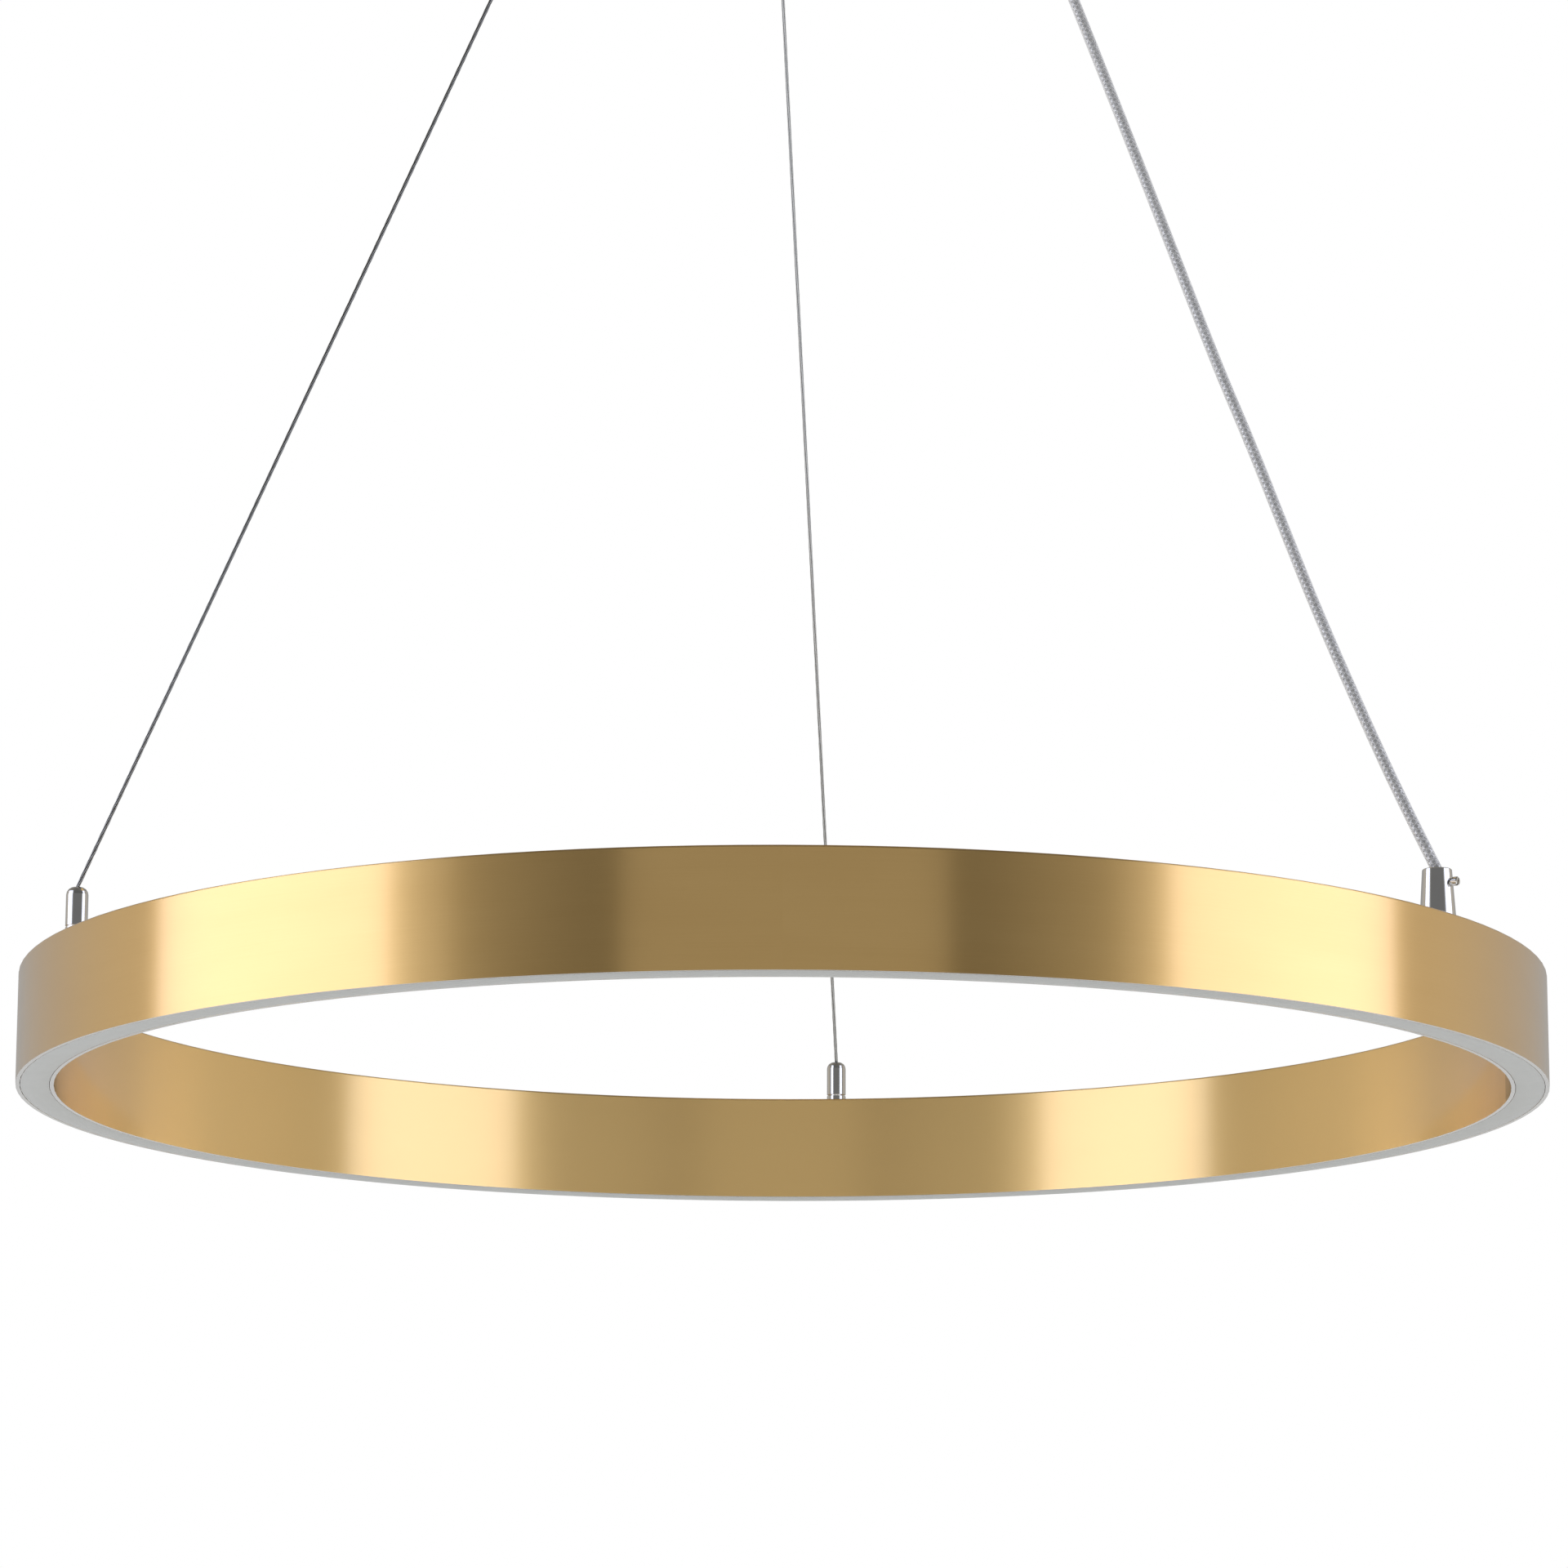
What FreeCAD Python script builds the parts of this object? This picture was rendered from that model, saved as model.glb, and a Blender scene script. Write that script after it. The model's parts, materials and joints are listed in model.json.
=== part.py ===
"""LED ring chandelier: a slim rolled ring on two steel cables and a power cord, under a ceiling canopy.

Millimetres, +Z up. The origin is on the ceiling, at the centre of the mounting bracket's top face.
-Y is the side seen in the photograph's foreground. Angles round the axis are counted from +Y towards +X.
"""

import FreeCAD, Part
import math
import os

from FreeCAD import Vector

# ---- driving dimensions: the ring -------------------------------------------------------------
RING_DIAMETER = 610.0        # outside, 24 in
PROFILE_WIDTH = 15.0         # radial width of the rolled channel
PROFILE_HEIGHT = 44.5        # 1.75 in
WALL = 1.6                   # side walls of the channel
WEB = 2.0                    # top of the channel
CORNER = 0.8                 # radius of the channel's outer corners

DIFFUSER_BULGE = 0.8         # how far the opal strip swells below the walls
DIFFUSER_PLATE = 1.6         # its thickness
DIFFUSER_LEG = 1.2           # thickness of its snap legs
DIFFUSER_LEG_HEIGHT = 6.0    # top of the snap legs above the walls' lower edge
DIFFUSER_GAP = 0.2           # side clearance of the strip between the walls
SNAP_HEIGHT = 3.4            # underside of the wall bead that the strip clicks over
SNAP_SIZE = 0.8              # height of that bead
SNAP_REACH = 0.45            # how far the bead stands out of the wall

CARRIER_HEIGHT = 28.0        # underside of the LED carrier above the walls' lower edge
CARRIER_THICKNESS = 1.2
CARRIER_GAP = 0.15           # side clearance of the carrier between the walls
LEDGE = 0.9                  # ledge under each edge of the carrier
BOARD_WIDTH = 8.0            # flexible LED board
BOARD_THICKNESS = 0.4
LED_COUNT = 120
LED_LENGTH = 5.0             # along the ring
LED_WIDTH = 3.0
LED_THICKNESS = 0.8

# ---- driving dimensions: the suspension -------------------------------------------------------
FITTING_HEIGHT = 17.7        # ring top to the mouth of each fitting
RING_TURN = 4.7              # angle of the rear fitting on the ring
CANOPY_TURN = -2.3           # angle of the rear gripper on the canopy
CABLE_DROP = 487.0           # hanging point down to the mouth of the fitting on the ring
CABLE_DIAMETER = 1.5
CORD_DIAMETER = 4.3
END_GAP = 0.7                # room for a strand's end to shift in its mouth as the ring sways
SEAT_GAP = 0.3               # room between a strand's upper end and the mouth that it hangs from

FITTING_DIAMETER = 8.5       # cable fitting
FITTING_BASE = 4.8           # height of its lower piece
FITTING_DOME = 3.0           # radius of the cap's shoulder
FITTING_GROOVE = 0.35        # depth of the groove near its foot
FITTING_STUD = 5.0           # M5 stud through the channel's top
SPIGOT_DIAMETER = 6.0        # thread on which the cap turns
SPIGOT_HEIGHT = 3.6
MOUTH_DEPTH = 2.0            # flare of a fitting's mouth
STOP_DIAMETER = 4.0          # ferrule pressed on the cable's end
STOP_LENGTH = 4.0
SHOULDER = 1.0               # metal left in the cap under its mouth
NUT_CLEARANCE = 0.05         # radial, nuts and studs in their holes
STUD_NUT_FLATS = 8.0
STUD_NUT_HEIGHT = 3.0
THREAD_PROUD = 1.0           # thread that stands past a nut

GRIP_TIP = 11.2              # cord grip, diameter at its mouth
GRIP_FOOT = 13.5             # and at its foot
GRIP_EDGE = 0.3              # bevel round its mouth
GRIP_STEM = 8.0              # M8 hollow stem
GRIP_NUT = 11.2              # round nut, across
GRIP_NUT_HEIGHT = 3.0
NUT_NOTCH = 1.6              # spanner notches in that nut
GRIP_SCREW_DROP = 5.2        # mouth to the set screw's axis
GRIP_SCREW = 2.5             # set screw, shank
GRIP_SCREW_HEAD = 3.4
GRIP_SCREW_NECK = 0.9        # bare shank outside the grip
GRIP_SCREW_HEAD_LENGTH = 2.0
SCREW_EDGE = 0.3             # bevel round its head
SLOT_WIDTH = 0.7
SLOT_DEPTH = 0.8
CORD_PAST_STEM = 1.0         # cord below the end of the grip's stem
FEED_WIRE = 1.5              # the two wires inside the ring
FEED_WIRE_GAP = 0.3          # between them
# how far the power cord bows below the straight line, by the share of the way down
CORD_ROUTE = [(0.0, 0.0), (0.11, -0.1), (0.22, 0.05), (0.33, 1.0), (0.44, 2.2), (0.56, 3.8),
              (0.63, 3.45), (0.70, 4.1), (0.78, 4.75), (0.87, 3.75), (0.94, 2.4), (1.0, 0.0)]

# ---- driving dimensions: the canopy -----------------------------------------------------------
CANOPY_DIAMETER = 220.0
CANOPY_DEPTH = 30.0
CANOPY_WALL = 1.2
CANOPY_CORNER = 4.0          # outside radius between side and face
HANGER_INSET = 20.0          # the three hanging points, in from the canopy's edge
GRIPPER_BARREL = 10.0        # M10 barrel of the cable gripper
GRIPPER_FLANGE = 13.0
GRIPPER_FLANGE_HEIGHT = 3.0
GRIPPER_INSIDE = 13.0        # barrel above the canopy's face
PLUNGER_DIAMETER = 4.4
PLUNGER_TRAVEL = 2.5
PLUNGER_NOSE = 3.2           # what still shows of the plunger when it is pushed home
PLUNGER_FIT = 0.05           # radial running clearance in the barrel
NOSE_FLARE = 0.5             # flare of the plunger's bore at its nose
NOSE_FLARE_DEPTH = 1.0
CABLE_FIT = 0.25             # radial clearance of the cable in the plunger
GRIP_BALL = 1.8              # the three clamping balls
BALL_ROOM = 0.05             # round each ball
GUIDE_TOP = 2.0              # top of the plunger's guide bore, above the canopy's underside
CONE_LENGTH = 7.0
CONE_ANGLE = 6.0             # half angle of the clamping cone, degrees
BALL_UP_CONE = 2.6           # guide bore to the balls' centres
SLEEVE_ABOVE_BALLS = 2.2
GRIPPER_LID = 1.2            # closed end above the spring
SPRING_WIRE = 0.4
SPRING_TURNS = 4
HEX_NUT_FLATS = 14.0
HEX_NUT_HEIGHT = 3.0
TAIL_LENGTH = 8.0            # cable above the gripper, inside the canopy

BRACKET_WIDTH = 25.0
BRACKET_THICKNESS = 2.0
BRACKET_TAB = 16.0           # depth of the bent ends
BRACKET_GAP = 0.4            # tab to canopy wall
SLOT_SPACING = 79.4          # centres of the two ceiling-screw slots
CEILING_SLOT = 4.8           # slot width
CEILING_SLOT_LENGTH = 24.0
CENTRE_HOLE = 10.4           # for a threaded nipple
SIDE_SCREW = 4.0             # M4 screws through the canopy's side
SIDE_SCREW_HEAD = 8.0
SIDE_SCREW_HEAD_LENGTH = 4.0
SIDE_SCREW_REACH = 10.0      # how far they reach inside
SIDE_SCREW_DEPTH = 8.0       # their axis below the ceiling
KNURLS = 12
KNURL_GROOVE = 1.2           # diameter of the knurl's grooves
KNURL_OFFSET = 0.25          # their axes outside the head

DRIVER_GAP = 1.0             # LED driver's ears to the gripper nut beside them
DRIVER_DEPTH = 44.0
DRIVER_HEIGHT = 21.0
DRIVER_EDGE = 2.0            # rounding of its upright edges
DRIVER_EAR = 9.0             # fixing ear at each end
EAR_WIDTH = 15.0
EAR_OFFSET = 11.0            # ears in front of the driver's middle
EAR_THICKNESS = 2.5
EAR_SCREW = 3.0
EAR_SCREW_HEAD = 6.0
EAR_SCREW_HEAD_HEIGHT = 1.8
TERMINAL_X = -38.0           # push-in terminal block
TERMINAL_Y = 48.0
TERMINAL_DEPTH = 20.0
TERMINAL_HEIGHT = 15.0
POLE_WIDTH = 10.0            # one pole of the three
WIRE_ENTRY = 4.0             # diameter of each pole's wire entry
WIRE_ENTRY_DEPTH = 10.0
ENTRY_OFFSET = 4.0           # entries behind the block's middle, releases in front
RELEASE_LENGTH = 5.0         # slot of each pole's release
RELEASE_WIDTH = 2.4
RELEASE_DEPTH = 1.5
MAINS_LEAD = 5.5             # lead from the block to the driver
LEAD_HEIGHT = 7.0            # its axis above the canopy's floor
LEAD_BEND = 14.0
LEAD_RUN = 14.0              # straight out of the block
LEAD_DRIVER_RUN = 22.0       # and into the driver
LEAD_SHIFT = 6.0             # sideways between the two
EARTH_WIRE = 2.2
EARTH_WIRE_BEND = 8.0
EARTH_WIRE_HEIGHT = 10.0     # where it leaves the block, above the canopy's floor
EARTH_WIRE_RISE = 24.0       # where it has risen to the bracket, from the bracket's middle line
EARTH_SCREW_INSET = 38.0     # in from the canopy's edge
EARTH_WASHER = 9.0
EARTH_WASHER_THICKNESS = 1.0
EARTH_SCREW_HEAD = 7.0
EARTH_SCREW_HEAD_HEIGHT = 2.4
CORD_BEND = 8.0              # bend of the cord above its grip in the canopy

# ---- derived places ---------------------------------------------------------------------------
RING_R = RING_DIAMETER / 2
INNER_R = RING_R - PROFILE_WIDTH
MID_R = (RING_R + INNER_R) / 2
HANGER_RADIUS = CANOPY_DIAMETER / 2 - HANGER_INSET
EARTH_SCREW_X = EARTH_SCREW_INSET - CANOPY_DIAMETER / 2
HANG_Z = -CANOPY_DEPTH - FITTING_HEIGHT      # the hanging points
MOUTH_Z = HANG_Z - CABLE_DROP                # mouths of the fittings on the ring
RING_TOP = MOUTH_Z - FITTING_HEIGHT
RING_BOTTOM = RING_TOP - PROFILE_HEIGHT
FACE_Z = -CANOPY_DEPTH                       # underside of the canopy
FLOOR_Z = FACE_Z + CANOPY_WALL               # inside of that face
CHANNEL_OUT = RING_R - WALL                  # inner faces of the channel
CHANNEL_IN = INNER_R + WALL
SLOPE = (MID_R - HANGER_RADIUS) / CABLE_DROP
LEAN = math.atan(SLOPE)                      # angle of the strands from the vertical
TERMINAL_LENGTH = 3 * POLE_WIDTH
STRANDS = {"rear": 0.0, "cord": 120.0, "left": -120.0}

os.makedirs("parts", exist_ok=True)


# ---- helpers ----------------------------------------------------------------------------------
def around(radius, degrees, z=0.0):
    """The point at that angle from +Y towards +X."""
    a = math.radians(degrees)
    return Vector(radius * math.sin(a), radius * math.cos(a), z)


def ring_point(name):
    """Mouth of a fitting on the ring."""
    return around(MID_R, RING_TURN + STRANDS[name], MOUTH_Z)


def canopy_point(name):
    """Hanging point under the canopy."""
    return around(HANGER_RADIUS, CANOPY_TURN + STRANDS[name], HANG_Z)


def rod(diameter, z0, z1, at=Vector(), direction=None):
    """A round bar from z0 to z1 above a point, along +Z or another direction."""
    return Part.makeCylinder(diameter / 2, z1 - z0, at + (direction or Vector(0, 0, 1)) * z0,
                             direction or Vector(0, 0, 1))


def turned(outline, at=Vector()):
    """A turned piece: an outline of (radius, height) points, spun about the vertical through a point."""
    points = [Vector(r, 0, z) for r, z in outline]
    face = Part.Face(Part.makePolygon(points + points[:1]))
    spun = face.revolve(Vector(), Vector(0, 0, 1), 360)
    spun.translate(at)
    return spun


def box(size, centre, z0):
    """A block on the plane z0, centred over a point."""
    return Part.makeBox(size.x, size.y, size.z, Vector(centre.x - size.x / 2, centre.y - size.y / 2, z0))


def hex_nut(flats, bore, z0, height, at):
    """A hexagon nut on a vertical stud."""
    corners = [around(flats / math.sqrt(3), 60 * k, z0) + at for k in range(6)]
    corners.append(corners[0])
    nut = Part.Face(Part.makePolygon(corners)).extrude(Vector(0, 0, height))
    return nut.cut(rod(bore, z0 - 1, z0 + height + 1, at))


def bent_path(points, radii):
    """Straight runs joined by tangent arcs, with one radius for each inner point."""
    edges, start = [], points[0]
    for before, corner, after, radius in zip(points, points[1:], points[2:], radii):
        back = (before - corner).normalize()
        on = (after - corner).normalize()
        half_turn = (math.pi - back.getAngle(on)) / 2
        reach = radius * math.tan(half_turn)
        first, last = corner + back * reach, corner + on * reach
        bisector = (back + on).normalize()
        middle = corner + bisector * (radius / math.cos(half_turn) - radius)
        edges += [Part.LineSegment(start, first).toShape(), Part.Arc(first, middle, last).toShape()]
        start = last
    edges.append(Part.LineSegment(start, points[-1]).toShape())
    return Part.Wire(edges)


def tube(points, radii, diameter):
    """A round wire or cord along a bent path."""
    path = bent_path(points, radii)
    along = (points[1] - points[0]).normalize()
    circle = Part.Wire(Part.Circle(points[0], along, diameter / 2).toShape())
    return path.makePipeShell([circle], True, False)


def widest_radii(points):
    """The largest tangent arcs that the runs beside each inner point leave room for."""
    radii = []
    for before, corner, after in zip(points, points[1:], points[2:]):
        run = min((corner - before).Length, (after - corner).Length)
        turn = math.pi - (before - corner).getAngle(after - corner)
        radii.append(0.45 * run / math.tan(turn / 2))
    return radii


def group(solids):
    """Separate solids of one kind, kept in one sub-part."""
    return Part.makeCompound(solids)


def save(name, shape):
    """Writes one sub-part and prints what it holds."""
    solids = shape.Solids
    sound = all(s.isValid() for s in solids)
    print(f"{name:24s} {len(solids):4d} solid(s)  {sum(s.Volume for s in solids):10.1f} mm3  valid {sound}")
    shape.exportStep(f"parts/{name}.step")


# ---- the ring ---------------------------------------------------------------------------------
def ring_housing():
    """The rolled channel: two walls, a top, beads for the diffuser, ledges for the LED carrier."""
    ledge_low = CARRIER_HEIGHT - LEDGE
    half = [(0, 0), (WALL, 0), (WALL, SNAP_HEIGHT), (WALL + SNAP_REACH, SNAP_HEIGHT),
            (WALL + SNAP_REACH, SNAP_HEIGHT + SNAP_SIZE), (WALL, SNAP_HEIGHT + SNAP_SIZE),
            (WALL, ledge_low), (WALL + LEDGE, ledge_low), (WALL + LEDGE, CARRIER_HEIGHT),
            (WALL, CARRIER_HEIGHT), (WALL, PROFILE_HEIGHT - WEB)]
    outer = [(RING_R - depth, RING_BOTTOM + z) for depth, z in half]
    inner = [(INNER_R + depth, RING_BOTTOM + z) for depth, z in reversed(half)]
    top = [(INNER_R, RING_TOP - CORNER), (INNER_R + CORNER, RING_TOP),
           (RING_R - CORNER, RING_TOP), (RING_R, RING_TOP - CORNER)]
    edges = []
    outline = [Vector(r, 0, z) for r, z in outer + inner + top]
    rounded = {len(outer + inner): Vector(INNER_R + CORNER, 0, RING_TOP - CORNER),
               len(outer + inner) + 2: Vector(RING_R - CORNER, 0, RING_TOP - CORNER)}
    for k, a in enumerate(outline):
        b = outline[(k + 1) % len(outline)]
        if k in rounded:
            centre = rounded[k]
            middle = centre + ((a + b) * 0.5 - centre).normalize() * CORNER
            edges.append(Part.Arc(a, middle, b).toShape())
        else:
            edges.append(Part.LineSegment(a, b).toShape())
    channel = Part.Face(Part.Wire(edges)).revolve(Vector(), Vector(0, 0, 1), 360)
    for name in STRANDS:
        stem = GRIP_STEM if name == "cord" else FITTING_STUD
        at = ring_point(name)
        hole = rod(stem + 2 * NUT_CLEARANCE, -FITTING_HEIGHT - WEB - 1, -FITTING_HEIGHT + 1, at)
        channel = channel.cut(hole)
    return channel


def diffuser():
    """The opal strip: a swelling plate with two legs that click over the walls' beads."""
    out, inn = CHANNEL_OUT - DIFFUSER_GAP, CHANNEL_IN + DIFFUSER_GAP
    hook_low = SNAP_HEIGHT + SNAP_SIZE + DIFFUSER_GAP
    neck = SNAP_REACH + DIFFUSER_GAP
    plate = DIFFUSER_PLATE

    def leg(edge, inward):
        """One leg's outline from the plate's edge up, round its hook and down inside."""
        return [(edge, 0), (edge, plate), (edge + inward * neck, plate), (edge + inward * neck, hook_low),
                (edge, hook_low), (edge + inward * neck, DIFFUSER_LEG_HEIGHT),
                (edge + inward * (neck + DIFFUSER_LEG), DIFFUSER_LEG_HEIGHT),
                (edge + inward * (neck + DIFFUSER_LEG), plate)]

    def place(outline):
        return [Vector(r, 0, RING_BOTTOM + z) for r, z in outline]

    outer, inner = place(leg(out, -1)), place(leg(inn, 1))
    edges = [Part.LineSegment(a, b).toShape() for leg_points in (outer, inner)
             for a, b in zip(leg_points, leg_points[1:])]
    low = Vector((out + inn) / 2, 0, RING_BOTTOM - DIFFUSER_BULGE)
    high = low + Vector(0, 0, DIFFUSER_PLATE)
    edges.append(Part.Arc(outer[0], low, inner[0]).toShape())
    edges.append(Part.Arc(outer[-1], high, inner[-1]).toShape())
    section = Part.Face(Part.Wire(Part.__sortEdges__(edges)))
    return section.revolve(Vector(), Vector(0, 0, 1), 360)


def flat_ring(centre_r, width, z0, thickness):
    """A flat ring of rectangular section."""
    r0, r1 = centre_r - width / 2, centre_r + width / 2
    return turned([(r0, z0), (r1, z0), (r1, z0 + thickness), (r0, z0 + thickness)])


def led_carrier():
    """Aluminium strip on the ledges that carries the board, with a hole for the feed wires."""
    width = CHANNEL_OUT - CHANNEL_IN - 2 * CARRIER_GAP
    z0 = RING_BOTTOM + CARRIER_HEIGHT
    strip = flat_ring(MID_R, width, z0, CARRIER_THICKNESS)
    at = ring_point("cord")
    hole = Part.makeCylinder(CORD_DIAMETER / 2, CARRIER_THICKNESS + 2, Vector(at.x, at.y, z0 - 1))
    return strip.cut(hole)


def led_board():
    """The flexible board under the carrier."""
    return flat_ring(MID_R, BOARD_WIDTH, RING_BOTTOM + CARRIER_HEIGHT - BOARD_THICKNESS, BOARD_THICKNESS)


def led_chips():
    """The LEDs, evenly round the board's underside."""
    top = RING_BOTTOM + CARRIER_HEIGHT - BOARD_THICKNESS
    chips = []
    for k in range(LED_COUNT):
        chip = Part.makeBox(LED_LENGTH, LED_WIDTH, LED_THICKNESS,
                            Vector(-LED_LENGTH / 2, MID_R - LED_WIDTH / 2, top - LED_THICKNESS))
        chip.rotate(Vector(), Vector(0, 0, 1), 360.0 * (k + 0.5) / LED_COUNT)
        chips.append(chip)
    return group(chips)


# ---- cable fittings on the ring ---------------------------------------------------------------
def fitting_base(name):
    """Lower piece of a cable fitting: foot, stud through the channel's top, spigot for the cap."""
    r, stud = FITTING_DIAMETER / 2, FITTING_STUD / 2
    foot = FITTING_HEIGHT
    groove = foot - FITTING_BASE / 2
    stud_end = -foot - WEB - STUD_NUT_HEIGHT - THREAD_PROUD
    outline = [(0, stud_end), (stud, stud_end), (stud, -foot), (r, -foot), (r, -groove - FITTING_GROOVE),
               (r - FITTING_GROOVE, -groove), (r, -groove + FITTING_GROOVE), (r, -foot + FITTING_BASE),
               (SPIGOT_DIAMETER / 2, -foot + FITTING_BASE),
               (SPIGOT_DIAMETER / 2, -foot + FITTING_BASE + SPIGOT_HEIGHT),
               (0, -foot + FITTING_BASE + SPIGOT_HEIGHT)]
    return turned(outline, ring_point(name))


def fitting_cap(name):
    """The domed cap: hollow over the spigot and the ferrule, with a flared mouth for the cable."""
    r, bore = FITTING_DIAMETER / 2, SPIGOT_DIAMETER / 2 + NUT_CLEARANCE
    throat, flare = CABLE_DIAMETER / 2 + 0.1, mouth_radius(CABLE_DIAMETER)
    foot = FITTING_BASE - FITTING_HEIGHT
    hollow_top = -MOUTH_DEPTH - SHOULDER
    outline = [(throat, hollow_top), (bore, hollow_top), (bore, foot), (r, foot), (r, -FITTING_DOME)]
    dome = [(r - FITTING_DOME * (1 - math.cos(math.radians(a))),
             -FITTING_DOME * (1 - math.sin(math.radians(a)))) for a in (22.5, 45, 67.5)]
    rim = [(max(r - FITTING_DOME, flare), 0), (flare, 0), (throat, -MOUTH_DEPTH)]
    return turned(outline + dome + rim, ring_point(name))


def mouth_radius(diameter):
    """Radius of a flared mouth in which a leaning strand of that diameter can shift."""
    return diameter / 2 / math.cos(LEAN) + END_GAP


def fixed_end(diameter):
    """Height of the held end below its mouth, clear of the leaning strand's end."""
    return -(1.5 * END_GAP + diameter / 2 * math.sin(LEAN))


def cable_stop(name):
    """Ferrule on the cable's end inside the cap, with the short end of cable above it."""
    at = ring_point(name)
    ferrule_top = -MOUTH_DEPTH - SHOULDER - NUT_CLEARANCE
    ferrule = rod(STOP_DIAMETER, ferrule_top - STOP_LENGTH, ferrule_top, at)
    return ferrule.fuse(rod(CABLE_DIAMETER, ferrule_top, fixed_end(CABLE_DIAMETER), at))


def stud_nuts():
    """The nuts on the cable fittings' studs, inside the channel."""
    z0 = -FITTING_HEIGHT - WEB - STUD_NUT_HEIGHT
    bore = FITTING_STUD + 2 * NUT_CLEARANCE
    return group([hex_nut(STUD_NUT_FLATS, bore, z0, STUD_NUT_HEIGHT, ring_point(name))
                  for name in ("rear", "left")])


# ---- cord grips -------------------------------------------------------------------------------
def cord_grip(at, up, wall):
    """Tapered grip on a hollow stem, its mouth at the point; up is 1 on the ring, -1 under the canopy."""
    bore, flare = CORD_DIAMETER / 2 + NUT_CLEARANCE, mouth_radius(CORD_DIAMETER)
    tip, foot, stem = GRIP_TIP / 2, GRIP_FOOT / 2, GRIP_STEM / 2
    stem_end = -FITTING_HEIGHT - wall - GRIP_NUT_HEIGHT - THREAD_PROUD
    outline = [(bore, stem_end), (stem, stem_end), (stem, -FITTING_HEIGHT), (foot, -FITTING_HEIGHT),
               (tip, -GRIP_EDGE), (tip - GRIP_EDGE, 0), (flare, 0), (bore, -MOUTH_DEPTH - SHOULDER)]
    body = turned([(r, up * z) for r, z in outline], at)
    outward = Vector(at.x, at.y, 0).normalize()
    screw_at = at - Vector(0, 0, up * GRIP_SCREW_DROP)
    return body.cut(Part.makeCylinder(GRIP_SCREW / 2 + NUT_CLEARANCE, foot + 1, screw_at, outward))


def grip_screw(at, up):
    """Slotted set screw that clamps the cord in its grip."""
    outward = Vector(at.x, at.y, 0).normalize()
    screw_at = at - Vector(0, 0, up * GRIP_SCREW_DROP)
    surface = GRIP_TIP / 2 + (GRIP_FOOT - GRIP_TIP) / 2 * GRIP_SCREW_DROP / FITTING_HEIGHT
    start = CORD_DIAMETER / 2 + NUT_CLEARANCE
    head_start = surface + GRIP_SCREW_NECK
    head_end = head_start + GRIP_SCREW_HEAD_LENGTH
    screw = rod(GRIP_SCREW, start, head_start, screw_at, outward)
    head = rod(GRIP_SCREW_HEAD, head_start, head_end, screw_at, outward)
    rim = [e for e in head.Edges if e.Closed and (e.CenterOfMass - screw_at).Length > head_end - SCREW_EDGE]
    head = head.makeChamfer(SCREW_EDGE, rim)
    slot = Part.makeBox(SLOT_DEPTH + 1, GRIP_SCREW_HEAD + 2, SLOT_WIDTH,
                        Vector(head_end - SLOT_DEPTH, -GRIP_SCREW_HEAD / 2 - 1, -SLOT_WIDTH / 2))
    slot.rotate(Vector(), Vector(1, 0, 0), 70)
    slot.rotate(Vector(), Vector(0, 0, 1), math.degrees(math.atan2(outward.y, outward.x)))
    slot.translate(screw_at)
    return screw.fuse(head.cut(slot)).removeSplitter()


def grip_nut(at, up, wall):
    """Round notched nut on a grip's stem."""
    z0 = -FITTING_HEIGHT - wall - GRIP_NUT_HEIGHT
    low, high = sorted((up * z0, up * (z0 + GRIP_NUT_HEIGHT)))
    nut = rod(GRIP_NUT, low, high, at).cut(rod(GRIP_STEM + 2 * NUT_CLEARANCE, low - 1, high + 1, at))
    across = Vector(-at.y, at.x, 0).normalize() * (GRIP_NUT / 2)
    for notch in (at - across, at + across):
        nut = nut.cut(box(Vector(NUT_NOTCH, NUT_NOTCH, GRIP_NUT_HEIGHT + 2), notch, at.z + low - 1))
    return nut


# lower end of the cord inside the ring, from the grip's mouth
CORD_END = -FITTING_HEIGHT - WEB - GRIP_NUT_HEIGHT - THREAD_PROUD - CORD_PAST_STEM


def ring_cord_end():
    """The clamped end of the cord in the ring's grip."""
    return rod(CORD_DIAMETER, CORD_END, fixed_end(CORD_DIAMETER), ring_point("cord"))


def feed_wires():
    """Two wires from the cord's end through the carrier to the board."""
    at = ring_point("cord")
    board_top = RING_BOTTOM + CARRIER_HEIGHT - MOUTH_Z
    side = Vector(-at.y, at.x, 0).normalize() * (FEED_WIRE + FEED_WIRE_GAP) / 2
    return group([rod(FEED_WIRE, board_top, CORD_END, at + side * k) for k in (-1, 1)])


# ---- the free strands -------------------------------------------------------------------------
def strand_ends(name):
    """Upper and lower end of a strand's free length, on the line between its two mouths."""
    high, low = canopy_point(name), ring_point(name)
    along = (low - high).normalize()
    return high + along * SEAT_GAP, low + along * (END_GAP / 2)


def steel_cable(name):
    """A straight taut cable."""
    high, low = strand_ends(name)
    return Part.makeCylinder(CABLE_DIAMETER / 2, (high - low).Length, low, high - low)


def power_cord():
    """The cord, which bows a little below the straight line, with one slight wave."""
    high, low = strand_ends("cord")
    along = low - high
    below = along.cross(Vector(0, 0, 1)).cross(along).normalize() * -1
    points = [high + along * share + below * bow for share, bow in CORD_ROUTE]
    radii = widest_radii(points)
    print("power cord: radii of its bends", [round(r) for r in radii])
    cord = tube(points, radii, CORD_DIAMETER)
    length = bent_path(points, radii).Length
    section = math.pi * CORD_DIAMETER ** 2 / 4
    print(f"power cord: {length:.1f} mm long, {cord.Volume:.0f} mm3, section x length {section * length:.0f}")
    return cord


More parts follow.
